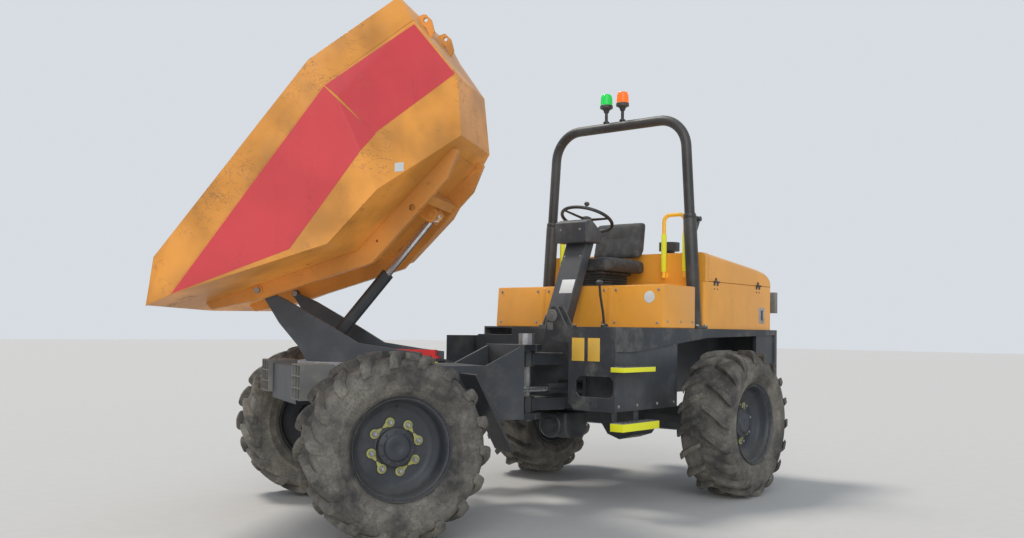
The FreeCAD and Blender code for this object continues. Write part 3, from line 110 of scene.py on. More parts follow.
class Graph:
    """The node tree of one material."""

    def __init__(self, name):
        self.material = bpy.data.materials.new(name)
        self.material.use_nodes = True
        self.tree = self.material.node_tree
        self.surface = self.tree.nodes["Principled BSDF"]
        self.coordinates = self.node("ShaderNodeTexCoord", {}, output="Object")

    def node(self, kind, inputs, output=0, **settings):
        made = self.tree.nodes.new(kind)
        for name, value in settings.items():
            setattr(made, name, value)
        for name, value in inputs.items():
            self.join(made.inputs[name], value)
        return Value(self, made.outputs[output])

    def join(self, socket, value):
        if isinstance(value, Value):
            self.tree.links.new(value.socket, socket)
        elif isinstance(value, tuple) and len(value) == 3 and socket.type == "RGBA":
            socket.default_value = (*value, 1.0)
        else:
            socket.default_value = value

    def noise(self, scale, detail=4.0, roughness=0.55, stretch=(1, 1, 1), shift=0.0):
        place = self.node("ShaderNodeMapping", {"Vector": self.coordinates, "Scale": stretch,
                                                "Location": (shift, shift * 0.7, shift * 1.3)})
        return self.node("ShaderNodeTexNoise", {"Vector": place, "Scale": scale, "Detail": detail,
                                                "Roughness": roughness})

    def cells(self, scale):
        return self.node("ShaderNodeTexVoronoi", {"Vector": self.coordinates, "Scale": scale})

    def step(self, value, low, high, first=0.0, last=1.0):
        ends = {"Value": value, "From Min": low, "From Max": high, "To Min": first, "To Max": last}
        return self.node("ShaderNodeMapRange", ends, interpolation_type="SMOOTHSTEP")

    def mix(self, factor, first, second):
        return self.node("ShaderNodeMix", {0: factor, 6: first, 7: second}, output=2, data_type="RGBA")

    def facing(self, axis):
        normal = self.node("ShaderNodeNewGeometry", {}, output="Normal")
        parts = self.tree.nodes.new("ShaderNodeSeparateXYZ")
        self.join(parts.inputs[0], normal)
        return Value(self, parts.outputs["XYZ".index(axis)])

    def edges(self, radius):
        """One along convex and concave edges, zero on flat faces."""
        rounded = self.node("ShaderNodeBevel", {"Radius": radius}, samples=4)
        normal = self.node("ShaderNodeNewGeometry", {}, output="Normal")
        likeness = self.node("ShaderNodeVectorMath", {0: rounded, 1: normal}, output="Value",
                             operation="DOT_PRODUCT")
        return self.step(1.0 - likeness, 0.02, 0.2)

    def finish(self, color, roughness, metallic=0.0, bump=None, bump_height=0.001, **others):
        self.join(self.surface.inputs["Base Color"], color)
        self.join(self.surface.inputs["Roughness"], roughness)
        self.join(self.surface.inputs["Metallic"], metallic)
        for name, value in others.items():
            self.join(self.surface.inputs[name.replace("_", " ")], value)
        if bump is not None:
            normal = self.node("ShaderNodeBump", {"Height": bump, "Distance": bump_height})
            self.join(self.surface.inputs["Normal"], normal)
        return self.material


# Materials
# long scratches in three directions: turn, half width, and how much of the surface they spare
SCRATCHES = ((0.55, 0.010, 0.60), (1.25, 0.007, 0.64), (-0.25, 0.006, 0.66))


def painted(name, color, worn=(0.16, 0.09, 0.05), dust=(0.30, 0.27, 0.22), dusty=0.25, chipped=0.5,
            rough=0.42, scratched=0.0, scratch_color=(0.13, 0.055, 0.03), patch=0.12, rounding=0.003):
    """Machine paint: uneven colour, settled dust, chips along edges and, where wanted, long scratches."""
    graph = Graph(name)
    broad = graph.noise(2.2, 3.0, 0.5)
    fine = graph.noise(38.0, 8.0, 0.62, shift=3.1)
    shade = graph.step(broad, 0.35, 0.68)
    dark = tuple(part * (1.0 - patch) for part in color)
    light = tuple(min(1.0, part * (1.0 + patch)) for part in color)
    tone = graph.mix(shade, dark, light)
    streak = graph.noise(7.0, 5.0, 0.6, stretch=(1.0, 1.0, 0.16), shift=1.7)
    grime = graph.step(streak, 0.52, 0.78) * graph.step(fine, 0.35, 0.7)
    tone = graph.mix(grime * 0.42, tone, tuple(part * 0.45 for part in color))
    level = graph.step(graph.facing("Z"), 0.25, 0.95)
    settled = (level * 0.9 + graph.step(graph.noise(5.0, 6.0, 0.65, shift=7.7), 0.46, 0.75) * 0.6) * dusty
    settled = settled * graph.step(fine, 0.2, 0.75, 0.55, 1.0)
    tone = graph.mix(settled.least(0.85), tone, dust)
    edge = graph.edges(rounding * 1.4) * graph.step(graph.noise(55.0, 6.0, 0.7, shift=5.3), 0.40, 0.60)
    tone = graph.mix((edge * chipped).least(1.0), tone, worn)
    roughness = rough + settled * 0.4 + grime * 0.12
    if scratched:
        marks = None
        for number, (angle, width, spared) in enumerate(SCRATCHES):
            drawn_out = {"Vector": graph.coordinates, "Rotation": (angle, angle * 0.6, angle),
                         "Scale": (1.0, 9.0, 9.0), "Location": (number * 3.3, 0.0, 1.0)}
            turned = graph.node("ShaderNodeMapping", drawn_out)
            lines = graph.node("ShaderNodeTexNoise", {"Vector": turned, "Scale": 2.6, "Detail": 7.0,
                                                      "Roughness": 0.62, "Distortion": 0.35})
            line = graph.step((lines - 0.5).absolute(), width, 0.0)
            where = graph.step(graph.noise(1.9, 4.0, 0.6, shift=4.0 + number), spared - 0.06, spared + 0.03)
            marks = line * where if marks is None else marks.most(line * where)
        scuffs = graph.step(graph.noise(3.2, 9.0, 0.72, stretch=(1, 1, 2.2), shift=9.0), 0.60, 0.68)
        scuffs = scuffs * graph.step(fine, 0.42, 0.62)
        marks = marks.most(scuffs * 0.75) * scratched
        tone = graph.mix(marks.least(1.0), tone, scratch_color)
        roughness = roughness + marks * 0.2
    rounded = graph.node("ShaderNodeBevel", {"Radius": rounding}, samples=4)
    dents = graph.noise(6.0, 2.0, 0.5, shift=2.0) * 0.6 + fine * 0.08
    normal = graph.node("ShaderNodeBump", {"Height": dents, "Distance": 0.0035, "Normal": rounded})
    graph.join(graph.surface.inputs["Normal"], normal)
    return graph.finish(tone, roughness.least(0.95))


def bare_metal(name, color=(0.42, 0.42, 0.43), rough=0.32, dusty=0.2):
    graph = Graph(name)
    wear = graph.noise(30.0, 6.0, 0.6)
    brushed = graph.noise(60.0, 3.0, 0.5, stretch=(1.0, 1.0, 0.05))
    tone = graph.mix(graph.step(wear, 0.4, 0.7) * 0.5, color, tuple(part * 0.45 for part in color))
    settled = graph.step(graph.noise(9.0, 5.0, 0.6, shift=2.0), 0.5, 0.75) * dusty
    tone = graph.mix(settled, tone, (0.20, 0.16, 0.12))
    return graph.finish(tone, rough + wear * 0.25, 0.92, bump=brushed + wear * 0.4, bump_height=0.0005)


def rubber(name, color, dust, dusty):
    """Tyre rubber with pale dried dust in patches, and fine cracks."""
    graph = Graph(name)
    cloud = graph.noise(4.0, 6.0, 0.62)
    grit = graph.noise(90.0, 6.0, 0.7, shift=1.3)
    streak = graph.noise(14.0, 5.0, 0.6, shift=6.0)
    cover = graph.step(cloud, 0.32, 0.66) * 0.75 + graph.step(streak, 0.45, 0.7) * 0.35
    cover = cover * graph.step(grit, 0.25, 0.7, 0.5, 1.0) * dusty
    tone = graph.mix(cover.least(0.9), color, dust)
    cracks = graph.step((graph.noise(26.0, 8.0, 0.6, shift=8.0) - 0.5).absolute(), 0.012, 0.0)
    tone = graph.mix(cracks * 0.5, tone, tuple(part * 0.5 for part in color))
    relief = grit * 0.6 + cloud * 0.5 - cracks * 0.4
    return graph.finish(tone, 0.82 + grit * 0.12, bump=relief, bump_height=0.0012)


def plastic(name, color, rough=0.45, dusty=0.18, **others):
    graph = Graph(name)
    grain = graph.cells(900.0)
    cloud = graph.noise(8.0, 5.0, 0.6)
    cover = graph.step(cloud, 0.42, 0.72) * dusty + graph.step(graph.facing("Z"), 0.4, 0.95) * dusty
    tone = graph.mix(cover.least(0.8), color, (0.26, 0.24, 0.20))
    return graph.finish(tone, rough + cover * 0.4, bump=grain, bump_height=0.0002, **others)


def glowing_lens(name, color, roughness=0.18):
    """Clear coloured plastic of a lamp, with a faint emission; the same finish on the gauge glass is a
    painted glow.
    """
    graph = Graph(name)
    ribs = graph.noise(70.0, 2.0, 0.5, stretch=(1, 1, 0.02))
    tone = graph.mix(graph.step(ribs, 0.45, 0.55) * 0.35, color, tuple(part * 0.55 for part in color))
    return graph.finish(tone, roughness + ribs * 0.1, bump=ribs, bump_height=0.0006,
                        Transmission_Weight=0.35, Emission_Color=color, Emission_Strength=0.25)


def fabric_skin(name, color):
    """Wipe-clean seat skin with a fine leather grain."""
    graph = Graph(name)
    grain = graph.cells(420.0)
    fold = graph.noise(18.0, 4.0, 0.55)
    tone = graph.mix(graph.step(fold, 0.4, 0.7) * 0.6, color, (0.075, 0.07, 0.062))
    return graph.finish(tone, 0.55 + fold * 0.15, bump=grain * 0.7 + fold * 0.5, bump_height=0.0007)


ORANGE = (0.66, 0.272, 0.045)
AMBER = (0.74, 0.325, 0.042)
DARK = (0.030, 0.034, 0.040)

MATERIALS = {
    "skip": painted("skip_orange", ORANGE, worn=(0.17, 0.085, 0.05), dusty=0.16, chipped=0.85, scratched=1.7,
                    scratch_color=(0.24, 0.115, 0.055), patch=0.26),
    "beam": painted("beam_orange", (0.60, 0.245, 0.045), worn=(0.17, 0.10, 0.06), dusty=0.16, chipped=0.75,
                    scratched=0.7, patch=0.18),
    "panel": painted("panel_red", (0.60, 0.050, 0.058), worn=(0.5, 0.2, 0.08), dusty=0.05, chipped=0.3,
                     rough=0.5, scratched=0.35, scratch_color=(0.42, 0.14, 0.07), patch=0.07,
                     rounding=0.0006),
    "hood": painted("hood_amber", AMBER, worn=(0.25, 0.16, 0.08), dusty=0.07, chipped=0.3, rough=0.33,
                    patch=0.06),
    "frame": painted("frame_grey", DARK, worn=(0.13, 0.11, 0.09), dust=(0.19, 0.18, 0.155), dusty=0.42,
                     chipped=0.8, rough=0.46, patch=0.25),
    "console": painted("console_grey", (0.040, 0.045, 0.052), dust=(0.20, 0.195, 0.18), dusty=0.36,
                       chipped=0.7, rough=0.44, patch=0.2),
    "dusty": painted("dusty_bracket_grey", (0.14, 0.138, 0.13), worn=(0.16, 0.14, 0.12),
                     dust=(0.34, 0.32, 0.27), dusty=0.85, chipped=0.7, rough=0.6, patch=0.25),
    "neck": painted("neck_grey", (0.050, 0.056, 0.066), worn=(0.13, 0.11, 0.09), dust=(0.20, 0.19, 0.17),
                    dusty=0.45, chipped=0.7, rough=0.46, patch=0.25),
    "deck": painted("deck_grey", DARK, worn=(0.16, 0.14, 0.12), dust=(0.30, 0.28, 0.24), dusty=0.75,
                    chipped=0.8, rough=0.6, patch=0.2),
    "rops": painted("hoop_black", (0.034, 0.032, 0.030), worn=(0.15, 0.12, 0.09), dust=(0.17, 0.16, 0.14),
                    dusty=0.35, chipped=1.0, scratched=0.8, scratch_color=(0.14, 0.125, 0.105), patch=0.3,
                    rounding=0.002),
    "rail": painted("rail_yellow", (0.82, 0.44, 0.035), worn=(0.22, 0.18, 0.12), dusty=0.12, chipped=0.4),
    "prop": painted("prop_red", (0.60, 0.03, 0.03), dusty=0.1, chipped=0.4),
    "pointer": plastic("pointer_yellow", (0.36, 0.35, 0.10), 0.55, 0.3),
    "rim": painted("rim_grey", (0.030, 0.034, 0.042), worn=(0.14, 0.12, 0.10), dust=(0.17, 0.16, 0.14),
                   dusty=0.4, chipped=0.8, rough=0.5, patch=0.25),
    "tyre": rubber("tyre_rubber", (0.035, 0.034, 0.033), (0.27, 0.245, 0.20), 0.8),
    "steel": bare_metal("worn_steel"),
    "chrome": bare_metal("rod_chrome", (0.72, 0.73, 0.75), 0.12, 0.10),
    "engine": painted("engine_block_grey", (0.06, 0.06, 0.062), dusty=0.3, rough=0.6),
    "black": plastic("black_plastic", (0.018, 0.018, 0.019)),
    "moulding": plastic("panel_moulding", (0.042, 0.046, 0.052), 0.5, 0.3),
    "skin": fabric_skin("seat_skin", (0.028, 0.028, 0.03)),
    "amber_lens": glowing_lens("amber_lens", (0.95, 0.20, 0.01)),
    "green_lens": glowing_lens("green_lens", (0.01, 0.62, 0.10)),
    "red_lens": glowing_lens("red_lens", (0.62, 0.01, 0.01)),
    "clear_lens": glowing_lens("clear_lens", (0.62, 0.66, 0.68), 0.12),
    # hi-vis yellow with a faint emission: a painted glow, as the sleeves and strips are no lamps
    "hi_vis_painted_glow": plastic("hi_vis_strip_painted_glow", (0.66, 0.66, 0.012), 0.5, 0.12, Emission_Color=(0.66, 0.66, 0.012),
                      Emission_Strength=0.12),
    "label": plastic("blank_label_yellow", (0.70, 0.42, 0.06), 0.45, 0.12),
    "pale": plastic("blank_plate_white", (0.62, 0.63, 0.62), 0.4, 0.15),
}


# Meshes
def sideways(side, first, second):
    """Two distances from the middle on one side of the machine, the smaller Y first."""
    return sorted((side * first, side * second))


def circle(count, radius, start=0.0):
    """Points evenly round a circle; start is the share of one step by which they are turned."""
    angles = [2 * math.pi * (k + start) / count for k in range(count)]
    return [(radius * math.cos(angle), radius * math.sin(angle)) for angle in angles]


def grid_faces(rows, columns, round_rows=False):
    """Faces with four corners between rows of points; round_rows joins each row's end to its start."""
    faces = []
    for low in range(0, (rows - 1) * columns, columns):
        for column in range(columns if round_rows else columns - 1):
            after = (column + 1) % columns
            faces.append((low + column, low + after, low + columns + after, low + columns + column))
    return faces


def standing(place, direction):
    """A frame at a place, with its Z along the direction."""
    return Matrix.Translation(place) @ direction.to_track_quat("Z", "Y").to_matrix().to_4x4()


# edges sharper than this, in degrees, are bevelled
BEVEL_ANGLE = 32.0


class Shape:
    """Gathers parts, in metres, into the mesh of one piece."""

    def __init__(self, frame_matrix):
        self.mesh = bmesh.new()
        self.frame = frame_matrix
        self.material = 0

    def _place(self, part, matrix, bevel, segments=2):
        bmesh.ops.recalc_face_normals(part, faces=part.faces)
        if bevel:
            sharp = [edge for edge in part.edges
                     if edge.is_manifold and edge.calc_face_angle(0.0) > math.radians(BEVEL_ANGLE)]
            bmesh.ops.bevel(part, geom=sharp, offset=bevel, segments=segments, profile=0.5, affect="EDGES",
                            clamp_overlap=True)
        for face in part.faces:
            face.material_index = self.material
        part.transform(self.frame @ (matrix or Matrix()))
        carrier = bpy.data.meshes.new("part")
        part.to_mesh(carrier)
        part.free()
        self.mesh.from_mesh(carrier)
        bpy.data.meshes.remove(carrier)

    def surface(self, points, faces, bevel=0.0):
        part = bmesh.new()
        made = [part.verts.new(point) for point in points]
        for face in faces:
            part.faces.new([made[index] for index in face])
        self._place(part, None, bevel)

    def slab(self, outline, low, high, axis="Z", matrix=None, bevel=0.0, segments=2):
        """An outline of two coordinates, drawn along the third from low to high."""
        third = "XYZ".index(axis)
        part = bmesh.new()
        lower = [part.verts.new((*pair[:third], low, *pair[third:])) for pair in outline]
        upper = [part.verts.new((*pair[:third], high, *pair[third:])) for pair in outline]
        part.faces.new(lower)
        part.faces.new(list(reversed(upper)))
        count = len(outline)
        for index in range(count):
            after = (index + 1) % count
            part.faces.new((lower[index], upper[index], upper[after], lower[after]))
        self._place(part, matrix, bevel, segments)

    def block(self, low, high, matrix=None, bevel=0.0):
        outline = [(low[0], low[1]), (high[0], low[1]), (high[0], high[1]), (low[0], high[1])]
        self.slab(outline, low[2], high[2], matrix=matrix, bevel=bevel)

    def turned(self, profile, sides, matrix=None, closed=False, bevel=0.0):
        """A profile of (radius, height) turned round Z; a radius of zero closes the end."""
        part = bmesh.new()
        rings = []
        for radius, height in profile:
            if radius == 0.0:
                rings.append([part.verts.new((0, 0, height))])
            else:
                rings.append([part.verts.new((x, y, height)) for x, y in circle(sides, radius)])
        pairs = list(zip(rings, rings[1:])) + ([(rings[-1], rings[0])] if closed else [])
        for first, second in pairs:
            for k in range(sides):
                after = (k + 1) % sides
                corners = [first[k % len(first)], first[after % len(first)],
                           second[after % len(second)], second[k % len(second)]]
                corners = [corner for place, corner in enumerate(corners) if corner not in corners[:place]]
                part.faces.new(corners)
        if not closed:
            for ring in (rings[0], rings[-1]):
                if len(ring) > 1:
                    part.faces.new(ring)
        self._place(part, matrix, bevel)

    def rod(self, start, end, radius, sides=20, bevel=0.0, bore=0.0):
        start, end = Vector(start), Vector(end)
        length = (end - start).length
        matrix = standing(start, end - start)
        if bore:
            wall = [(bore, 0), (radius, 0), (radius, length), (bore, length)]
            self.turned(wall, sides, matrix, True, bevel)
        else:
            self.turned([(radius, 0), (radius, length)], sides, matrix, bevel=bevel)

    def tube(self, path, radius, sides=16):
        """A round bar along a path of points, with mitred rings and closed ends."""
        part = bmesh.new()
        path = [Vector(point) for point in path]
        rings = []
        up = None
        for index, point in enumerate(path):
            before = (point - path[index - 1]).normalized() if index else None
            after = (path[index + 1] - point).normalized() if index + 1 < len(path) else None
            along = ((before or after) + (after or before)).normalized()
            if up is None:
                up = along.orthogonal().normalized()
            up = (up - along * up.dot(along)).normalized()
            across = along.cross(up)
            rings.append([part.verts.new(point + up * a + across * b) for a, b in circle(sides, radius)])
        for first, second in zip(rings, rings[1:]):
            for k in range(sides):
                part.faces.new((first[k], first[(k + 1) % sides], second[(k + 1) % sides], second[k]))
        part.faces.new(rings[0])
        part.faces.new(rings[-1])
        self._place(part, None, 0.0)

    def bolt(self, place, direction, radius, height):
        """A hexagon head on a washer, with a slightly domed end."""
        matrix = standing(Vector(place), Vector(direction))
        washer = [(radius * 1.35, -0.001), (radius * 1.35, height * 0.22), (0.0, height * 0.22)]
        head = [(radius, height * 0.2), (radius, height * 0.9), (radius * 0.86, height), (0.0, height)]
        self.turned(washer, 18, matrix)
        self.turned(head, 6, matrix)

    def finish(self, name, body, *materials, replaces=(), slot=None, angle=34.0):
        data = bpy.data.meshes.new(name)
        self.mesh.to_mesh(data)
        self.mesh.free()
        for key in materials:
            data.materials.append(MATERIALS[key])
        data.shade_smooth()
        data.set_sharp_from_angle(angle=math.radians(angle))
        piece = bpy.data.objects.new(name, data)
        bpy.context.scene.collection.objects.link(piece)
        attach(piece, body)
        if replaces:
            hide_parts(*replaces)
        return piece


def arc_path(points, bend, steps=8):
    """The straight runs through the points, with their inner corners rounded."""
    points = [Vector(point) for point in points]
    path = [points[0]]
    for before, corner, after in zip(points, points[1:], points[2:]):
        first = (before - corner).normalized()
        last = (after - corner).normalized()
        half = math.acos(max(-1.0, min(1.0, first.dot(last)))) / 2
        reach = bend / math.tan(half)
        start, end = corner + first * reach, corner + last * reach
        centre = corner + (first + last).normalized() * (bend / math.sin(half))
        for step in range(steps + 1):
            share = step / steps
            spoke = (start - centre).normalized().slerp((end - centre).normalized(), share)
            path.append(centre + spoke * bend)
    path.append(points[-1])
    return path


def rounded_outline(low, high, corner, steps):
    """Round corners about four centres, from the front left one on, as one outline."""
    centres = (high, (low[0], high[1]), low, (high[0], low[1]))
    outline = []
    for quarter, (x, y) in enumerate(centres):
        for step in range(steps + 1):
            turn = math.radians(90 * quarter + 90 * step / steps)
            outline.append((x + corner * math.cos(turn), y + corner * math.sin(turn)))
    return outline


# Camera, light and floor
CAMERA_PLACE = Vector((5.359, 4.285, 1.172))
# yaw, pitch and roll in degrees
CAMERA_TURN = (50.49, 1.98, 0.79)
CAMERA_LENS = 35.16
CAMERA_SHIFT = 0.0258
# name, strength, colour, spread in degrees, and the way the light travels
LAMPS = (
    ("key", 2.35, (1.0, 0.965, 0.91), 16.0, (-0.10, 0.52, -0.95)),
    ("side_fill", 1.30, (0.94, 0.97, 1.0), 45.0, (-0.75, -0.62, -0.55)),
    ("low_fill", 0.80, (1.0, 0.95, 0.88), 60.0, (-0.55, -0.5, 0.75)),
)
# colour and strength of the light all round, and of the backdrop that is seen
AROUND = ((0.80, 0.88, 1.0), 0.62)
BACKDROP = ((0.68, 0.72, 0.76), 1.0)
FLOOR_REACH = 70.0


def build_camera():
    scene = bpy.context.scene
    yaw, pitch, roll = (math.radians(turn) for turn in CAMERA_TURN)
    forward = Vector((-math.sin(yaw) * math.cos(pitch), -math.cos(yaw) * math.cos(pitch), math.sin(pitch)))
    level = forward.cross(Vector((0, 0, 1))).normalized()
    above = level.cross(forward)
    right = level * math.cos(roll) + above * math.sin(roll)
    upward = right.cross(forward)
    turn = Matrix((right, upward, -forward)).transposed()
    data = bpy.data.cameras.new("camera")
    data.sensor_width = 36.0
    data.lens = CAMERA_LENS
    data.shift_y = CAMERA_SHIFT
    data.clip_end = 400.0
    camera = bpy.data.objects.new("camera", data)
    camera.matrix_world = Matrix.Translation(REAR @ CAMERA_PLACE) @ turn.to_4x4()
    scene.collection.objects.link(camera)
    scene.camera = camera
    scene.view_settings.view_transform = "Standard"


def build_lamps():
    for name, strength, color, spread, travel in LAMPS:
        lamp = bpy.data.lights.new(name, "SUN")
        lamp.energy = strength
        lamp.color = color
        lamp.angle = math.radians(spread)
        lamp.use_shadow = name != "low_fill"
        holder = bpy.data.objects.new(name, lamp)
        holder.rotation_euler = Vector(travel).to_track_quat("-Z", "Y").to_euler()
        bpy.context.scene.collection.objects.link(holder)


def build_world():
    """One colour lights the object; another is what the camera, clear lenses and shiny metal see."""
    world = bpy.data.worlds.new("sky")
    bpy.context.scene.world = world
    world.use_nodes = True
    tree = world.node_tree
    tree.nodes.clear()
    output = tree.nodes.new("ShaderNodeOutputWorld")
    choose = tree.nodes.new("ShaderNodeMixShader")
    seen = tree.nodes.new("ShaderNodeLightPath")
    shown = seen.outputs["Is Camera Ray"]
    for ray in ("Is Transmission Ray", "Is Glossy Ray"):
        either = tree.nodes.new("ShaderNodeMath")
        either.operation = "MAXIMUM"
        tree.links.new(shown, either.inputs[0])
        tree.links.new(seen.outputs[ray], either.inputs[1])
        shown = either.outputs[0]
    for slot, (color, strength) in ((1, AROUND), (2, BACKDROP)):
        back = tree.nodes.new("ShaderNodeBackground")
        back.inputs["Color"].default_value = (*color, 1.0)
        back.inputs["Strength"].default_value = strength
        tree.links.new(back.outputs[0], choose.inputs[slot])
    tree.links.new(shown, choose.inputs[0])
    tree.links.new(choose.outputs[0], output.inputs[0])


def build_floor():
    plain = Graph("pale_floor")
    fine = plain.noise(9.0, 3.0, 0.5)
    tone = plain.mix(fine, (0.43, 0.42, 0.40), (0.47, 0.46, 0.44))
    plain.finish(tone, 0.9)
    floor = bpy.data.meshes.new("floor")
    corners = [(x * FLOOR_REACH, y * FLOOR_REACH, 0) for x, y in ((-1, -1), (1, -1), (1, 1), (-1, 1))]
    floor.from_pydata(corners, [], [(0, 1, 2, 3)])
    floor.materials.append(plain.material)
    ground = bpy.data.objects.new("floor", floor)
    ground.location.z = -0.001
    bpy.context.scene.collection.objects.link(ground)


build_camera()
build_lamps()
build_world()
build_floor()


# CAD nodes that are shown as they are, with their finishes
KEPT = {
    "skip": ("skip_shell", "lifting_eyes"),
    "beam": ("skip_underframe",),
    "frame": ("front_axle", "rear_axle", "front_frame", "front_mudguards", "rear_frame", "wheel_arches",
              "tail_plate", "hydraulic_tank", "fuel_tank", "tip_barrel", "steer_barrel"),
    "dusty": ("front_lamps", "rear_lamps"),
    "neck": ("swan_neck",),
    "deck": ("deck",),
    "steel": ("hinge_pins", "slew_ring", "pivot_pin"),
    "chrome": ("tip_rod", "steer_rod"),
    "prop": ("safety_prop",),
    "engine": ("engine_block",),
    "black": ("air_cleaner_cap",),
}
for key, names in KEPT.items():
    for node in names:
        surfaces = NODES[node].data.materials
        surfaces.clear()
        surfaces.append(MATERIALS[key])


# Wheels
LUGS = 18
# across the tread: distance from the middle, top radius, base radius, half thickness
LUG_STATIONS = (
    (0.004, 0.5200, 0.487, 0.012),
    (0.012, 0.5245, 0.488, 0.016),
    (0.050, 0.5250, 0.489, 0.018),
    (0.095, 0.5250, 0.489, 0.020),
    (0.140, 0.5235, 0.486, 0.022),
    (0.168, 0.5190, 0.480, 0.024),
    (0.186, 0.5060, 0.466, 0.025),
    (0.1965, 0.4820, 0.448, 0.024),
    (0.1985, 0.4560, 0.440, 0.021),
)
# outer half of the carcass: radius, distance from the middle
TYRE_PROFILE = ((0.2685, 0.130), (0.2690, 0.146), (0.2900, 0.158), (0.3020, 0.166), (0.3060, 0.172),
                (0.3120, 0.173), (0.3260, 0.180), (0.3500, 0.190), (0.3560, 0.1945), (0.3620, 0.1950),
                (0.3680, 0.1925), (0.3900, 0.1955), (0.4150, 0.1955), (0.4400, 0.1920), (0.4620, 0.1800),
                (0.4760, 0.1600), (0.4840, 0.1200), (0.4890, 0.0700), (0.4900, 0.0))
LUG_COLUMNS = 6
NUTS = 8
NUT_CIRCLE = 0.1375
NUT_START = 0.71
# the disc's outer face, which the nuts and pointers stand on
DISC_FACE = 0.030
HUB_BOLTS = 10
HUB_BOLT_CIRCLE = 0.089
POINTER_RADIUS = 0.0265
POINTER_TIP = 0.050
Y_UP = Matrix.Rotation(math.radians(-90), 4, "X")


def tyre_mesh(side, name, body, node, centre):
    """A tractor tread tyre: carcass with moulded ridges, and diagonal lugs that run down the shoulder."""
    rng = random.Random(name)
    shape = Shape(centre)
    half = list(TYRE_PROFILE)
    profile = half + [(radius, -offset) for radius, offset in reversed(half[:-1])]
    shape.turned(profile, 96, Y_UP, closed=True)
    for half_side in (-1, 1):
        for index in range(LUGS):
            turn = 2 * math.pi * (index + (0.5 if half_side < 0 else 0.0)) / LUGS
            worn = rng.uniform(0.0, 0.0035)
            points = []
            for offset, top, base, half_thick in LUG_STATIONS:
                lead = (offset - 0.10) * 0.62 + 0.12 * (offset - 0.10) ** 2 / 0.1
                top = top - worn
                soft = min(0.006, (top - base) * 0.4)
                for across, radius in ((-half_thick - 0.006, base), (-half_thick, top - soft),
                                       (-half_thick + soft * 0.8, top), (half_thick - soft * 0.8, top),
                                       (half_thick, top - soft), (half_thick + 0.006, base)):
                    angle = (lead + across) / 0.5 + turn
                    points.append((radius * math.sin(angle), offset * half_side, radius * math.cos(angle)))
            faces = grid_faces(len(LUG_STATIONS), LUG_COLUMNS)
            last = (len(LUG_STATIONS) - 1) * LUG_COLUMNS
            faces += [tuple(range(LUG_COLUMNS)), tuple(last + column for column in range(LUG_COLUMNS))]
            shape.surface(points, faces)
    # fine moulded rings on the outer wall
    for radius, offset in ((0.332, 0.1835), (0.402, 0.1962)):
        ring = [(radius - 0.004, side * (offset - 0.003)), (radius - 0.0015, side * offset),
                (radius + 0.0015, side * offset), (radius + 0.004, side * (offset - 0.003))]
        shape.turned(ring, 96, Y_UP, closed=True)
    shape.finish(name, body, "tyre", replaces=(node,), slot="tyre", angle=48.0)


def rim_mesh(side, name, body, node, centre):
    """A dished disc wheel with its nuts, their yellow pointers and a bolted hub."""
    shape = Shape(centre)
    flip = Matrix() if side > 0 else Matrix.Rotation(math.pi, 4, "Z")
    out = flip @ Y_UP
    barrel = [(0.2860, 0.1680), (0.2845, 0.1675), (0.2780, 0.1580), (0.2715, 0.1500), (0.2640, 0.1430),
              (0.2560, 0.1180), (0.2540, 0.0800), (0.2440, 0.0640), (0.2300, 0.0560), (0.2180, 0.0420),
              (0.2060, 0.0335), (0.1880, 0.0300), (0.1180, 0.0300), (0.1180, 0.0120), (0.2000, 0.0120),
              (0.2200, 0.0240), (0.2420, 0.0300), (0.2420, -0.0900), (0.2560, -0.1300), (0.2640, -0.1430),
              (0.2780, -0.1580), (0.2845, -0.1675), (0.2860, -0.1680), (0.2860, -0.1600), (0.2675, -0.1500),
              (0.2675, 0.1500), (0.2860, 0.1600)]
    shape.turned(barrel, 96, out, closed=True)
    hub = [(0.0, -0.040), (0.118, -0.040), (0.118, 0.0300), (0.1165, 0.0345), (0.112, 0.0360),
           (0.108, 0.0380), (0.106, 0.0640), (0.104, 0.0700), (0.098, 0.0730), (0.080, 0.0740),
           (0.076, 0.0770), (0.072, 0.0860), (0.066, 0.0900), (0.030, 0.0912), (0.026, 0.0888),
           (0.0, 0.0888)]
    shape.turned(hub, 48, out)
    for x, z in circle(HUB_BOLTS, HUB_BOLT_CIRCLE, 0.3):
        shape.bolt(flip @ Vector((x, 0.0735, z)), flip.to_3x3() @ Vector((0, 1, 0)), 0.0065, 0.006)
    shape.material = 1
    nuts = circle(NUTS, NUT_CIRCLE, NUT_START)
    for x, z in nuts:
        top = out @ Matrix.Translation((x, -z, DISC_FACE))
        shape.turned([(0.021, -0.001), (0.021, 0.004), (0.0, 0.004)], 20, top)
        shape.turned([(0.0165, 0.0035), (0.0165, 0.019), (0.0145, 0.021), (0.0, 0.021)], 6, top)
        shape.turned([(0.0095, 0.020), (0.0095, 0.033), (0.008, 0.0345), (0.0, 0.0345)], 14, top)
    # pointers clipped over the nuts, in pairs that aim at each other
    shape.material = 2
    ring = [math.radians(degrees) for degrees in range(30, 331, 20)]
    outline = [(POINTER_RADIUS * math.cos(angle), POINTER_RADIUS * math.sin(angle)) for angle in ring]
    outline += [(POINTER_TIP, -0.004), (POINTER_TIP, 0.004)]
    for k, (x, z) in enumerate(nuts):
        partner_x, partner_z = nuts[k + 1 if k % 2 == 0 else k - 1]
        aim = math.atan2(z - partner_z, partner_x - x)
        top = out @ Matrix.Translation((x, -z, DISC_FACE)) @ Matrix.Rotation(aim, 4, "Z")
        shape.slab(outline, 0.0042, 0.0105, matrix=top, bevel=0.0012)
    shape.material = 3
    shape.rod(flip @ Vector((0.0, 0.034, 0.226)), flip @ Vector((0.0, 0.085, 0.222)), 0.0045, 12)
    shape.finish(name, body, "rim", "steel", "pointer", "black", replaces=(node,), slot="rim_paint")


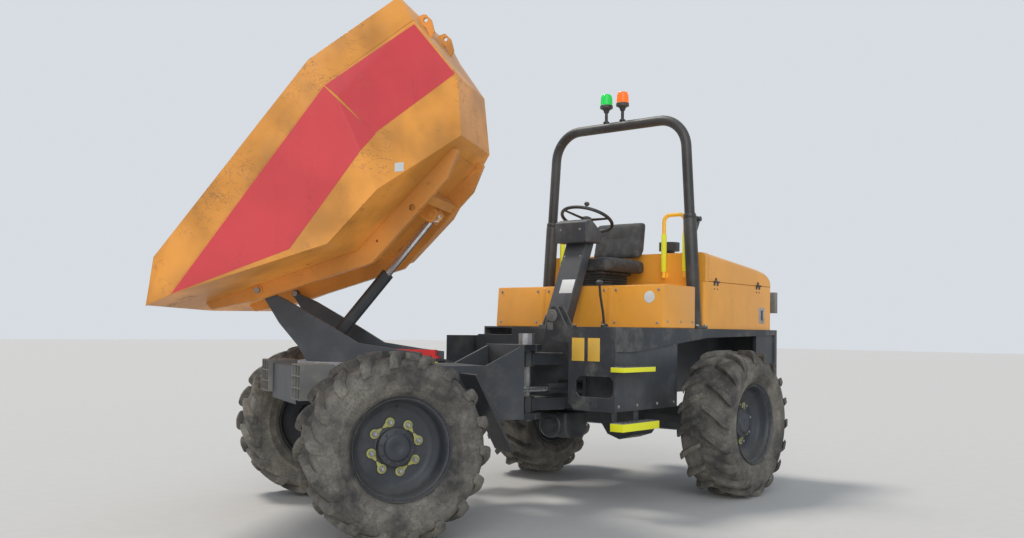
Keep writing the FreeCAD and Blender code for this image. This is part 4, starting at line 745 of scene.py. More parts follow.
def build_wheels():
    for end, base in (("front", FRONT), ("rear", REAR)):
        for side, word in ((1, "left"), (-1, "right")):
            centre = base @ Matrix.Translation((AXLE_X[end], side * HALF_TRACK, TYRE_RADIUS))
            corner = end + "_" + word
            tyre_mesh(side, "treaded_tyre_" + corner, "wheel_" + corner, "tyre_" + corner, centre)
            rim_mesh(side, "dished_wheel_" + corner, "wheel_" + corner, "rim_" + corner, centre)


build_wheels()


# Roll hoop, its posts and the beacons
HOOP_X = -1.110
HOOP_BASE_HALF = 0.680
HOOP_TOP_HALF = 0.585
DECK_TOP = 1.200
DECK_FRONT = 0.030
HOOP_TOP = 2.800
HOOP_FOLD = 2.010
HOOP_TUBE = 0.038
HOOP_POST = 0.048
FOLD_PIN_X = HOOP_X - 0.078
FOLD_LUG = 0.016


def hoop_half_at(z):
    return HOOP_BASE_HALF + (HOOP_TOP_HALF - HOOP_BASE_HALF) * (z - DECK_TOP) / (HOOP_TOP - DECK_TOP)


def build_posts():
    shape = Shape(REAR)
    fold_half = hoop_half_at(HOOP_FOLD)
    pin_x = FOLD_PIN_X
    for side in (-1, 1):
        foot = (HOOP_X, side * HOOP_BASE_HALF, DECK_TOP + 0.0205)
        top = (HOOP_X, side * fold_half, HOOP_FOLD)
        shape.rod(foot, top, HOOP_POST, 40, bevel=0.003)
        low_y, high_y = sideways(side, 0.610, 0.745)
        shape.block((HOOP_X - 0.075, low_y, DECK_TOP + 0.0004), (HOOP_X + 0.075, high_y, DECK_TOP + 0.020),
                    bevel=0.003)
        # rolled weld bead round the foot
        bead = Matrix.Translation(foot)
        shape.turned([(HOOP_POST - 0.002, -0.001), (HOOP_POST + 0.010, -0.001), (HOOP_POST + 0.007, 0.006),
                      (HOOP_POST - 0.002, 0.012)], 40, bead, closed=True)
        for offset in (-1, 1):
            near, far = sorted((side * fold_half + offset * (FOLD_LUG / 2 + 0.006),
                                side * fold_half + offset * (FOLD_LUG * 1.5 + 0.006)))
            outline = [(HOOP_X - 0.020, HOOP_FOLD - 0.160), (pin_x - 0.020, HOOP_FOLD - 0.025),
                       (pin_x - 0.020, HOOP_FOLD + 0.020), (pin_x + 0.020, HOOP_FOLD + 0.020),
                       (HOOP_X - 0.020, HOOP_FOLD - 0.030)]
            shape.slab(outline, near, far, axis="Y", bevel=0.004)
        ends = [(pin_x, side * fold_half + offset * 0.040, HOOP_FOLD) for offset in (-1, 1)]
        shape.rod(ends[0], ends[1], 0.014, 24, bevel=0.002)
        head_y = ends[1][1]
        shape.rod((pin_x, head_y + 0.001, HOOP_FOLD), (pin_x, head_y + 0.007, HOOP_FOLD), 0.021, 6,
                  bevel=0.001)
        shape.material = 1
        for x in (-0.060, 0.060):
            for y in (0.622, 0.733):
                shape.bolt((HOOP_X + x, side * y, DECK_TOP + 0.020), (0, 0, 1), 0.010, 0.011)
        shape.material = 0
    shape.finish("roll_hoop_posts", "rear", "rops", "steel", replaces=("roll_posts",), angle=40.0)


def build_hoop():
    shape = Shape(REAR)
    foot = HOOP_FOLD + 0.0004
    half = hoop_half_at(foot)
    top = HOOP_TOP - HOOP_TUBE
    corners = [(HOOP_X, half, foot), (HOOP_X, HOOP_TOP_HALF, top), (HOOP_X, -HOOP_TOP_HALF, top),
               (HOOP_X, -half, foot)]
    shape.tube(arc_path(corners, 0.230, 12), HOOP_TUBE, 36)
    pin_x = FOLD_PIN_X
    for side in (-1, 1):
        outline = [(HOOP_X - 0.020, foot + 0.008), (HOOP_X - 0.054, foot + 0.002),
                   (pin_x + 0.012, foot - 0.022), (pin_x - 0.018, foot - 0.018), (pin_x - 0.024, foot),
                   (pin_x - 0.010, foot + 0.026), (HOOP_X - 0.020, foot + 0.090)]
        shape.slab(outline, side * half - FOLD_LUG / 2, side * half + FOLD_LUG / 2, axis="Y", bevel=0.003)
        lean = Vector((0, side * (hoop_half_at(foot + 0.03) - half), 0.03))
        start = Vector((HOOP_X, side * half, foot + 0.001))
        shape.rod(start, start + lean, HOOP_TUBE + 0.008, 36, bevel=0.003)
    shape.finish("roll_hoop_bar", "roll_hoop", "rops", replaces=("roll_hoop",), angle=40.0)


def build_beacons():
    """Two flashing lamps on stems over the hoop: green to the right, amber to the left."""
    shape = Shape(REAR)
    foot = HOOP_TOP - 0.001
    for y, lens in ((-0.115, 1), (0.035, 2)):
        place = Matrix.Translation((HOOP_X, y, foot))
        shape.material = 0
        stem = [(0.0, 0.0), (0.024, 0.0), (0.024, 0.012), (0.012, 0.018), (0.012, 0.078), (0.020, 0.086),
                (0.023, 0.100), (0.036, 0.112), (0.050, 0.118), (0.050, 0.138), (0.047, 0.142),
                (0.0, 0.142)]
        shape.turned(stem, 32, place)
        shape.material = lens
        cover = [(0.0, 0.1422), (0.045, 0.1422), (0.0455, 0.150), (0.0425, 0.206), (0.0400, 0.218),
                 (0.034, 0.226), (0.020, 0.230), (0.0, 0.231)]
        shape.turned(cover, 40, place)
        for low, high in zip(circle(20, 0.0452), circle(20, 0.0424)):
            shape.tube([place @ Vector((*low, 0.150)), place @ Vector((*high, 0.205))], 0.0016, 5)
    shape.finish("flashing_beacons", "roll_hoop", "black", "green_lens", "amber_lens",
                 replaces=("beacons",))


RAIL_X = -1.160
RAIL_LEGS = (0.385, 0.565)
RAIL_FOOT = 1.580
RAIL_TOP = 2.050


def build_hand_rails():
    """Two bent bars in front of the engine cover, with hi-vis plastic sleeves over their legs that carry a
    painted glow.
    """
    shape = Shape(REAR)
    x = RAIL_X
    back_x = -1.1896
    inner, outer = RAIL_LEGS
    for side in (-1, 1):
        outline = ((inner, RAIL_FOOT), (inner, RAIL_TOP), (outer, RAIL_TOP), (outer, RAIL_FOOT))
        corners = [(x, side * y, z) for y, z in outline]
        shape.material = 0
        shape.tube(arc_path(corners, 0.050, 8), 0.0148, 18)
        for y in RAIL_LEGS:
            shape.material = 0
            shape.rod((back_x, side * y, 1.600), (x, side * y, 1.600), 0.012, 16)
            shape.rod((back_x, side * y, 1.600), (back_x + 0.005, side * y, 1.600), 0.024, 20, bevel=0.001)
            # the sleeves take the hi-vis finish, whose emission is a painted glow
            shape.material = 1
            shape.rod((x, side * y, 1.625), (x, side * y, 1.905), 0.0200, 20, bevel=0.001)
    shape.finish("bent_hand_rails", "rear", "rail", "hi_vis_painted_glow", replaces=("hand_rails",), angle=40.0)


# Engine cover
HOOD_HALF = 0.720
HOOD_FRONT = -1.190
HOOD_REAR = -2.300
HOOD_SPLIT = 1.550
HOOD_ROUND = 0.045
HOOD_SHEET = 0.005
HOOD_STEPS = 7
HOOD_MIDDLE = -1.700
HOOD_CORNER = 0.030
HINGE_PLACES = (-1.350, -2.050)
# how far the hinges' axis stands off the cover's side
HINGE_OFF = 0.009
LATCH_X = -2.117
LATCH_Z = 1.315
# the cover's top along the machine: x and height
HOOD_TOPS = ((-1.190, 1.765), (-1.230, 1.7614), (-1.236, 1.765), (-1.920, 1.700), (-2.080, 1.684),
             (-2.200, 1.665), (-2.245, 1.648), (-2.272, 1.630))


def hood_ring(x, bottom, top, half, radius):
    """Upper cover's outline across the machine, from its left foot over the top to its right foot."""
    ring = [Vector((x, half, bottom))]
    for side in (1, -1):
        for step in range(HOOD_STEPS + 1):
            angle = math.pi / 2 * (step if side > 0 else HOOD_STEPS - step) / HOOD_STEPS
            y = half - radius + radius * math.cos(angle)
            ring.append(Vector((x, side * y, top - radius + radius * math.sin(angle))))
    ring.append(Vector((x, -half, bottom)))
    return ring


def skin_between(shape, outer, inner, cap_front, cap_rear):
    """A sheet between outer and inner rings along its length, closed along the feet and the open ends."""
    width = len(outer[0])
    count = len(outer)
    points = [point for ring in outer for point in ring] + [point for ring in inner for point in ring]
    offset = count * width
    faces = grid_faces(count, width)
    faces += [tuple(offset + index for index in reversed(face)) for face in faces]
    for row in range(count - 1):
        for column in (0, width - 1):
            first = row * width + column
            faces.append((first, first + width, offset + first + width, offset + first))
    for row, capped in ((0, cap_front), (count - 1, cap_rear)):
        start = row * width
        if capped:
            faces.append(tuple(range(start, start + width)))
            faces.append(tuple(offset + index for index in reversed(range(start, start + width))))
            faces.append((start, start + width - 1, offset + start + width - 1, offset + start))
        else:
            for column in range(width - 1):
                first = start + column
                faces.append((first, first + 1, offset + first + 1, offset + first))
    shape.surface(points, faces)


def build_bulkhead():
    sheet = HOOD_SHEET
    front = Shape(REAR)
    foot = HOOD_SPLIT - 0.0016
    tops = HOOD_TOPS[:2]
    outer = [hood_ring(x, foot, top, HOOD_HALF, HOOD_ROUND) for x, top in tops]
    behind = ((tops[0][0] - sheet, tops[0][1]), tops[1])
    inner = [hood_ring(x, foot, top - 0.060, HOOD_HALF - 0.045, 0.010) for x, top in behind]
    skin_between(front, outer, inner, True, False)
    front.finish("cover_bulkhead", "rear", "hood", replaces=("hood_front",))


def build_lid():
    sheet = HOOD_SHEET
    lid = Shape(REAR)
    foot = HOOD_SPLIT + 0.002
    tops = HOOD_TOPS[2:]
    outer = [hood_ring(x, foot, top, HOOD_HALF, HOOD_ROUND) for x, top in tops]
    rounding = ((-2.288, 1.612, 0.004), (-2.295, 1.594, 0.010))
    for x, top, inset in rounding:
        outer.append(hood_ring(x, foot, top, HOOD_HALF - inset, HOOD_ROUND))
    inner = []
    for ring in outer:
        centre = Vector((ring[0].x, 0.0, foot))
        narrower = 1 - sheet / HOOD_HALF
        lower = 1 - sheet / 0.2
        inner.append([centre + Vector((0, point.y * narrower, (point.z - foot) * lower)) for point in ring])
    for point in inner[-1]:
        point.x += sheet
    skin_between(lid, outer, inner, False, True)
    lid.material = 1
    # hinge leaves round the pins
    axis_y = HOOD_HALF + HINGE_OFF
    for x in HINGE_PLACES:
        lid.block((x - 0.012, HOOD_HALF - 0.001, HOOD_SPLIT + 0.003),
                  (x + 0.012, HOOD_HALF + 0.005, HOOD_SPLIT + 0.030), bevel=0.0012)
        lid.rod((x - 0.012, axis_y, HOOD_SPLIT), (x + 0.012, axis_y, HOOD_SPLIT), 0.007, 20, bore=0.0038)
    lid.finish("hinged_engine_cover", "hood_lid", "hood", "rim", replaces=("hood_lid",))


def build_lower_body():
    sheet = HOOD_SHEET
    lower = Shape(REAR)
    base, top = DECK_TOP + 0.0004, HOOD_SPLIT - 0.002
    half = HOOD_HALF
    corner = HOOD_CORNER
    outline = rounded_outline((HOOD_REAR + corner, corner - half), (HOOD_FRONT - corner, half - corner),
                              corner, 6)
    inside = [(x + (0.020 if x < HOOD_MIDDLE else -sheet), y - math.copysign(sheet, y)) for x, y in outline]
    levels = ((outline, base), (outline, top), (inside, top), (inside, base))
    points = [(x, y, z) for ring, z in levels for x, y in ring]
    # the fifth row of corners is the first one again
    faces = [tuple(index % len(points) for index in face) for face in grid_faces(5, len(outline), True)]
    lower.surface(points, faces)
    lower.material = 1
    axis_y = half + HINGE_OFF
    for x in HINGE_PLACES:
        for x0, x1 in ((x - 0.036, x - 0.013), (x + 0.013, x + 0.036)):
            lower.block((x0, half, HOOD_SPLIT - 0.028), (x1, half + 0.004, HOOD_SPLIT - 0.002), bevel=0.001)
            lower.rod((x0, axis_y, HOOD_SPLIT), (x1, axis_y, HOOD_SPLIT), 0.007, 20)
        lower.rod((x - 0.036, axis_y, HOOD_SPLIT), (x + 0.036, axis_y, HOOD_SPLIT), 0.0035, 12)
        for shift in (-0.024, 0.024):
            lower.bolt((x + shift, half + 0.001, HOOD_SPLIT - 0.052), (0, 1, 0), 0.004, 0.004)
    # latch: a plate with a black handle on it
    lower.material = 2
    plate = [(0.048, 0.062), (-0.045, 0.062), (-0.050, -0.062), (0.043, -0.062)]
    lower.slab([(LATCH_X + x, LATCH_Z + z) for x, z in plate], half - 0.002, half + 0.003, axis="Y",
               bevel=0.002)
    lower.material = 3
    handle = [(0.012, 0.042), (-0.014, 0.042), (-0.016, -0.040), (0.010, -0.040)]
    lower.slab([(LATCH_X + x, LATCH_Z + z) for x, z in handle], half, half + 0.007, axis="Y", bevel=0.003)
    lower.finish("engine_cover_lower_body", "rear", "hood", "rim", "steel", "black", replaces=("hood_lower",))


build_posts()
build_hoop()
build_beacons()
build_hand_rails()
build_bulkhead()
build_lid()
build_lower_body()


# Operator's place
PLINTH_TOP = 1.500
SEAT_X = -0.860
PANEL_BOTTOM = 1.812
WHEEL_CENTRE = Vector((-0.700, 0.0, 2.000))
WHEEL_AXIS = Vector((-0.387, 0.0, 0.922)).normalized()
WHEEL_RADIUS = 0.190
PAD_CORNER = 0.050
BACK_HALF = 0.212
BACK_FRONT_X = -1.075
CONSOLE_FRONT_LOW = -0.300
CONSOLE_FRONT_HIGH = -0.565
CONSOLE_DEEP = 0.100


def build_console():
    """Leaning pillar on a foot plate with two gussets, its bolts, and a blank plate on its front."""
    shape = Shape(REAR)
    base, top = DECK_TOP + 0.0004, PANEL_BOTTOM - 0.0004
    low_x, high_x = CONSOLE_FRONT_LOW, CONSOLE_FRONT_HIGH
    profile = [(low_x, base), (high_x, top), (high_x - CONSOLE_DEEP, top), (low_x - CONSOLE_DEEP, base)]
    shape.slab(profile, -0.090, 0.090, axis="Y", bevel=0.006, segments=3)
    shape.block((-0.440, -0.105, base), (-0.270, 0.105, base + 0.012), bevel=0.002)
    for side in (-1, 1):
        gusset = [(-0.300, base + 0.012), (-0.275, base + 0.012), (-0.318, base + 0.090)]
        shape.slab(gusset, side * 0.078 - 0.004, side * 0.078 + 0.004, axis="Y", bevel=0.001)
    lean = Vector((high_x - low_x, 0.0, top - base)).normalized()
    outward = Vector((lean.z, 0.0, -lean.x))
    shape.material = 1
    for height in (0.10, 0.56):
        for y in (-0.070, 0.070):
            place = Vector((low_x, y, base)) + lean * height
            shape.bolt(place, outward, 0.006, 0.005)
    for x in (-0.428, -0.282):
        for y in (-0.094, 0.094):
            shape.bolt((x, y, base + 0.012), (0, 0, 1), 0.007, 0.007)
    shape.finish("console_pillar", "rear", "console", "steel", replaces=("console",))

    # blank plate on the pillar's front
    plate = Shape(REAR)
    turn = Matrix(((lean.x, 0, outward.x, low_x), (0, 1, 0, 0), (lean.z, 0, outward.z, base), (0, 0, 0, 1)))
    plate.block((0.262, -0.030, 0.0004), (0.370, 0.084, 0.0014), matrix=turn, bevel=0.0004)
    plate.finish("blank_console_plate", "rear", "pale")


def build_panel():
    """Dashboard box with a slightly proud lid, gauges without markings, a switch row and a key."""
    shape = Shape(REAR)
    low = PANEL_BOTTOM
    profile = [(-0.500, low), (-0.490, 1.960), (-0.560, 1.985), (-0.690, 1.900), (-0.680, low)]
    shape.slab(profile, -0.140, 0.140, axis="Y", bevel=0.010, segments=3)
    slope = Vector((0.130, 0.0, 0.085)).normalized()
    normal = Vector((-slope.z, 0.0, slope.x))
    centre = Vector((-0.625, 0.0, 1.9425))
    plane = Matrix(((slope.x, 0, normal.x, centre.x), (0, 1, 0, 0),
                    (slope.z, 0, normal.z, centre.z), (0, 0, 0, 1)))
    for y in (-0.082, 0.082):
        ring = plane @ Matrix.Translation((0.018, y, 0.0))
        shape.material = 1
        bezel = [(0.0, -0.002), (0.034, -0.002), (0.034, 0.006), (0.029, 0.007), (0.028, 0.002), (0.0, 0.002)]
        shape.turned(bezel, 32, ring)
        # gauge glass in the clear lens finish: its faint emission is a painted glow, as gauges are no lamps
        shape.material = 2
        shape.turned([(0.0, 0.0022), (0.0275, 0.0022), (0.0275, 0.0045), (0.0, 0.0045)], 32, ring)
    shape.material = 1
    for index in range(4):
        y = -0.105 + index * 0.030
        shape.block((-0.052, y, -0.001), (-0.020, y + 0.024, 0.008), matrix=plane, bevel=0.002)
    shape.turned([(0.0, 0.0), (0.013, 0.0), (0.013, 0.008), (0.011, 0.010), (0.0, 0.010)], 20,
                 plane @ Matrix.Translation((-0.036, 0.070, 0.0)))
    # screws on the front cover
    shape.material = 3
    for y in (-0.085, 0.085):
        shape.bolt((-0.492, y, 1.905), (1, 0, -0.05), 0.007, 0.005)
    shape.finish("instrument_panel_box", "rear", "moulding", "black", "clear_lens", "steel",
                 replaces=("instrument_panel",))


def build_steering_wheel():
    """Thin rimmed wheel with three flat spokes, a domed hub and a knob."""
    shape = Shape(REAR)
    across = WHEEL_AXIS.cross(Vector((0, 1, 0))).normalized()
    axes = Matrix((across, Vector((0, 1, 0)), WHEEL_AXIS)).transposed()
    turn = Matrix.Translation(WHEEL_CENTRE) @ axes.to_4x4()
    shape.turned([(WHEEL_RADIUS + a, b) for a, b in circle(14, 0.0125)], 72, turn, closed=True)
    for angle in (90, 210, 330):
        spin = turn @ Matrix.Rotation(math.radians(angle), 4, "Z")
        reach = WHEEL_RADIUS - 0.004
        outline = [(0.030, -0.017), (reach, -0.012), (reach, 0.012), (0.030, 0.017)]
        shape.slab(outline, -0.0085, -0.0025, matrix=spin, bevel=0.002)
    hub = [(0.0, -0.034), (0.030, -0.034), (0.036, -0.026), (0.042, -0.010), (0.042, 0.002), (0.038, 0.009),
           (0.026, 0.013), (0.0, 0.014)]
    shape.turned(hub, 36, turn)
    column = [(0.0, -0.150), (0.0195, -0.150), (0.0195, -0.060), (0.026, -0.030), (0.0, -0.030)]
    shape.turned(column, 24, turn)
    knob = turn @ Matrix.Rotation(math.radians(150), 4, "Z") @ Matrix.Translation((0.188, 0.0, 0.0))
    profile = [(0.0, 0.008), (0.006, 0.010), (0.006, 0.018), (0.016, 0.024), (0.020, 0.034), (0.016, 0.044),
               (0.0, 0.048)]
    shape.turned(profile, 20, knob)
    shape.finish("rimmed_steering_wheel", "rear", "black", replaces=("steering_wheel",))


# cloth settings that swell a pad's skin
FILLING = {"use_pressure": True, "uniform_pressure_force": 5.0, "quality": 4, "mass": 0.3,
           "tension_stiffness": 12.0, "compression_stiffness": 12.0, "shear_stiffness": 6.0,
           "bending_stiffness": 0.4, "vertex_group_mass": "held"}


def work_in_modifiers(piece):
    """Give the piece the mesh that its modifiers make of it."""
    graph = bpy.context.evaluated_depsgraph_get()
    made = bpy.data.meshes.new_from_object(piece.evaluated_get(graph), depsgraph=graph)
    piece.modifiers.clear()
    made.materials.clear()
    made.materials.append(MATERIALS["skin"])
    piece.data = made
    return made


def soft_block(name, outline, low, high, axis, most_move, replaces_node, is_held):
    """A foam pad with its skin: a rounded block that a cloth simulation swells between its held seams."""
    shape = Shape(REAR)
    shape.slab(outline, low, high, axis=axis, bevel=0.022, segments=3)
    piece = shape.finish(name, "rear", "skin", replaces=(replaces_node,), angle=60.0)
    modifier = piece.modifiers.new("even", "REMESH")
    modifier.mode = "VOXEL"
    modifier.voxel_size = 0.011
    bpy.context.view_layer.update()
    even = work_in_modifiers(piece)
    start = [vertex.co.copy() for vertex in even.vertices]
    held = [index for index, place in enumerate(start) if is_held(REAR.inverted() @ place)]
    piece.vertex_groups.new(name="held").add(held, 1.0, "REPLACE")
    cloth = piece.modifiers.new("fill", "CLOTH")
    cloth.settings.effector_weights.gravity = 0.0
    for setting, value in FILLING.items():
        setattr(cloth.settings, setting, value)
    cloth.point_cache.frame_start = 1
    cloth.point_cache.frame_end = 16
    scene = bpy.context.scene
    for step in range(1, 15):
        scene.frame_set(step)
    graph = bpy.context.evaluated_depsgraph_get()
    filled = [vertex.co.copy() for vertex in piece.evaluated_get(graph).data.vertices]
    piece.modifiers.clear()
    piece.vertex_groups.clear()
    scene.frame_set(1)
    for vertex, before, after in zip(even.vertices, start, filled):
        move = after - before
        if move.length > most_move:
            move = move.normalized() * most_move
        vertex.co = before + move
    smooth = piece.modifiers.new("round", "SUBSURF")
    smooth.levels = 1
    smooth.render_levels = 1
    work_in_modifiers(piece).shade_smooth()


def build_seat():
    low = PLINTH_TOP + 0.1104
    cushion_low, cushion_high = low + 0.004, PLINTH_TOP + 0.206
    outline = rounded_outline((SEAT_X - 0.260, -0.175), (SEAT_X + 0.165, 0.175), PAD_CORNER, 4)
    seams = (-0.085, 0.085)
    floor = cushion_low + 0.012

    def held_cushion(place):
        on_top = place.z > cushion_high - 0.02
        on_seam = on_top and min(abs(place.y - seam) for seam in seams) < 0.006
        across = on_top and abs(place.x - (SEAT_X - 0.10)) < 0.006 and abs(place.y) < 0.10
        return place.z < floor or on_seam or across

    soft_block("stitched_seat_cushion", outline, cushion_low, cushion_high, "Z", 0.014, "seat_cushion",
               held_cushion)

    bottom = PLINTH_TOP + 0.2204
    lean = Vector((-0.070, 0.0, 2.030 - bottom)).normalized()
    back = [(BACK_FRONT_X, bottom + 0.014), (-1.133, 2.006), (-1.196, 2.006), (-1.168, 1.790),
            (-1.130, bottom + 0.014)]

    def held_back(place):
        front_x = BACK_FRONT_X + (place.z - bottom - 0.014) * lean.x / lean.z
        near_front = place.x > front_x - 0.018
        on_seam = min(abs(place.y - seam) for seam in (-0.105, 0.105)) < 0.006 and near_front
        across = abs(place.z - (bottom + 0.17)) < 0.006 and abs(place.y) < 0.11 and near_front
        return on_seam or across or place.x < front_x - 0.05

    soft_block("stitched_seat_back", back, -BACK_HALF, BACK_HALF, "Y", 0.012, "seat_back", held_back)


def build_seat_base():
    """Sprung base: slide rails, rubber bellows with four folds and a tilt knob."""
    base = Shape(REAR)
    start = PLINTH_TOP + 0.0004
    base.block((SEAT_X - 0.190, -0.170, start), (SEAT_X + 0.190, 0.170, start + 0.012), bevel=0.002)
    rings = []
    for index in range(9):
        inset = 0.0 if index % 2 == 0 else 0.012
        half_x, half_y = 0.150 - inset, 0.130 - inset
        height = start + 0.013 + index * 0.0095
        ring = rounded_outline((SEAT_X - half_x, -half_y), (SEAT_X + half_x, half_y), 0.030, 4)
        rings.append([(x, y, height) for x, y in ring])
    count = len(rings[0])
    points = [point for ring in rings for point in ring]
    faces = grid_faces(len(rings), count, True)
    faces += [tuple(range(count)), tuple((len(rings) - 1) * count + k for k in range(count))]
    base.surface(points, faces)
    base.block((SEAT_X - 0.188, -0.168, start + 0.091), (SEAT_X + 0.188, 0.168, start + 0.1088), bevel=0.003)
    base.rod((SEAT_X + 0.08, 0.168, start + 0.10), (SEAT_X + 0.08, 0.178, start + 0.10), 0.006, 12)
    base.finish("sprung_seat_base", "rear", "black", replaces=("seat_base",))


def build_levers():
    """Lever with its rubber foot and its knob, on the left of the console."""
    shape = Shape(REAR)
    low = Vector((-0.384, 0.38, DECK_TOP + 0.0004))
    bends = ((0.0, 0.0), (0.018, 0.100), (0.052, 0.215), (0.064, 0.290))
    path = [low + Vector((x, 0.0, z)) for x, z in bends]
    shape.tube(path, 0.0085, 14)
    shape.turned([(0.0, -0.004), (0.026, -0.004), (0.026, 0.010), (0.018, 0.020), (0.0, 0.022)], 24,
                 Matrix.Translation(low + Vector((0, 0, 0.004))))
    shape.material = 1
    shape.turned([(0.0, -0.004), (0.012, 0.0), (0.023, 0.010), (0.025, 0.020), (0.018, 0.031), (0.0, 0.035)],
                 24, Matrix.Translation(path[-1]))
    shape.finish("hand_lever", "rear", "black", "moulding")


build_console()
build_panel()
build_steering_wheel()
build_seat()
build_seat_base()
build_levers()


# Red panels and blank plate on the skip
# the sheets' lower and upper faces above the skin, and how far out the search for the skin starts
SHEET_LOW = 0.0006
SHEET_HIGH = 0.0022
SEARCH_REACH = 0.20


def laid_sheet(name, corners, across, along, material):
    """A thin painted panel laid on the skip's skin, between four corner points in the skip's frame."""
    shell = NODES["skip_shell"]
    into = shell.matrix_world.inverted() @ SKIP
    back = into.inverted()
    first, second, third, fourth = (Vector(corner) for corner in corners)
    outward = (second - first).cross(fourth - first).normalized()
    if outward.y < 0:
        outward = -outward
    inside = into.to_3x3() @ -outward
    lifted = []
    for i in range(across + 1):
        top = first.lerp(second, i / across)
        low = fourth.lerp(third, i / across)
        for j in range(along + 1):
            point = top.lerp(low, j / along)
            found, place = shell.ray_cast(into @ (point + outward * SEARCH_REACH), inside)[:2]
            lifted.append(back @ place if found else point)
    count = len(lifted)
    points = [point + outward * lift for lift in (SHEET_LOW, SHEET_HIGH) for point in lifted]
    row = along + 1
    faces = grid_faces(across + 1, row)
    faces += [tuple(count + k for k in reversed(quad)) for quad in faces]
    rim = list(range(along)) + [i * row + along for i in range(across)]
    rim += [across * row + j for j in range(along, 0, -1)] + [i * row for i in range(across, 0, -1)]
    for k, low in enumerate(rim):
        after = rim[(k + 1) % len(rim)]
        faces.append((low, after, count + after, count + low))
    shape = Shape(SKIP)
    shape.surface(points, faces)
    shape.finish(name, "skip", material)


def build_skip_panels():
    """The red panels on the skip's left side, and one blank plate low down behind them."""
    side = [(0.690, 0.8630, 1.543), (-0.770, 0.8959, 1.672), (-0.766, 0.8050, 1.315), (0.030, 0.783, 1.231)]
    laid_sheet("red_side_panel", side, 150, 36, "panel")
    rear = [(-0.776, 0.895, 1.672), (-1.350, 0.490, 1.712), (-1.300, 0.320, 1.392), (-0.770, 0.745, 1.335)]
    laid_sheet("red_rear_panel", rear, 40, 24, "panel")
    small = [(-0.7171, 0.6580, 1.163), (-0.7521, 0.6173, 1.1427), (-0.7165, 0.6231, 1.1055),
             (-0.6823, 0.6637, 1.126)]
    laid_sheet("blank_skip_plate", small, 2, 2, "pale")


# Seat platform: front face, shoulder where it narrows for the hoop's posts, and rear edge
PLATFORM_FRONT_X = -0.550
PLATFORM_LEAN = 0.022
PLATFORM_SHOULDER_X = -1.000
PLATFORM_REAR_X = -1.188
PLATFORM_WIDE = 0.744
PLATFORM_NARROW = 0.585
PLATFORM_TOP = 1.4995
LABEL_Y = 0.629
LABEL_Z = 1.4135
LABEL_LEAN = 4.2


def platform_front_at(z):
    base = DECK_TOP + 0.0006
    return PLATFORM_FRONT_X - PLATFORM_LEAN * (z - base) / (PLATFORM_TOP - base)


def build_platform():
    """The broad amber box under the seat, with its bolts, seam strips and blank round label."""
    shape = Shape(REAR)
    base = DECK_TOP + 0.0006
    points = []
    for z, front in ((base, PLATFORM_FRONT_X), (PLATFORM_TOP, PLATFORM_FRONT_X - PLATFORM_LEAN)):
        half = [(front, PLATFORM_WIDE), (PLATFORM_SHOULDER_X, PLATFORM_WIDE),
                (PLATFORM_SHOULDER_X, PLATFORM_NARROW), (PLATFORM_REAR_X, PLATFORM_NARROW)]
        points += [(x, y, z) for x, y in half] + [(x, -y, z) for x, y in reversed(half)]
    count = len(points) // 2
    faces = [tuple(range(count)), tuple(range(2 * count - 1, count - 1, -1))]
    faces += [(k, (k + 1) % count, count + (k + 1) % count, count + k) for k in range(count)]
    shape.surface(points, faces, bevel=0.009)
    for y in (-0.30, 0.30):
        strip = [(PLATFORM_FRONT_X - 0.002, base + 0.004), (PLATFORM_FRONT_X - 0.0215, PLATFORM_TOP - 0.014),
                 (PLATFORM_FRONT_X - 0.0185, PLATFORM_TOP - 0.014), (PLATFORM_FRONT_X + 0.001, base + 0.004)]
        shape.slab(strip, y - 0.020, y + 0.020, axis="Y", bevel=0.0008)
    shape.material = 1
    outward = Vector((PLATFORM_TOP - base, 0, PLATFORM_LEAN)).normalized()
    for z in (1.235, 1.465):
        x = platform_front_at(z)
        for y in (-0.70, -0.35, -0.25, 0.25, 0.35, 0.70):
            shape.bolt((x + 0.0004, y, z), outward, 0.0075, 0.006)
    for x in (-0.62, -0.80, -0.96):
        for side in (-1, 1):
            shape.bolt((x, side * (PLATFORM_WIDE - 0.0005), 1.245), (0, side, 0), 0.007, 0.005)
    shape.finish("seat_platform", "rear", "hood", "steel", replaces=("seat_plinth",))

    label = Shape(REAR)
    turn = Matrix.Translation((platform_front_at(LABEL_Z) + 0.0010, LABEL_Y, LABEL_Z))
    turn = turn @ Matrix.Rotation(math.radians(90 - LABEL_LEAN), 4, "Y")
    label.turned([(0.0, 0.0), (0.042, 0.0), (0.042, 0.0008), (0.041, 0.0011), (0.0, 0.0011)], 48, turn)
    label.finish("blank_round_label", "rear", "pale")


# each tread's top, rear end, front end and depth of its edge
STEP_TOPS = ((0.9465, -0.295, 0.0885, 0.033), (0.5935, -0.346, 0.0885, 0.052))
STEP_INNER = 0.7515
STEP_OUTER = 0.8485
TANK_SIDE = 0.7040
HANGER_LOW = 0.545
HANGER_HIGH = 0.700


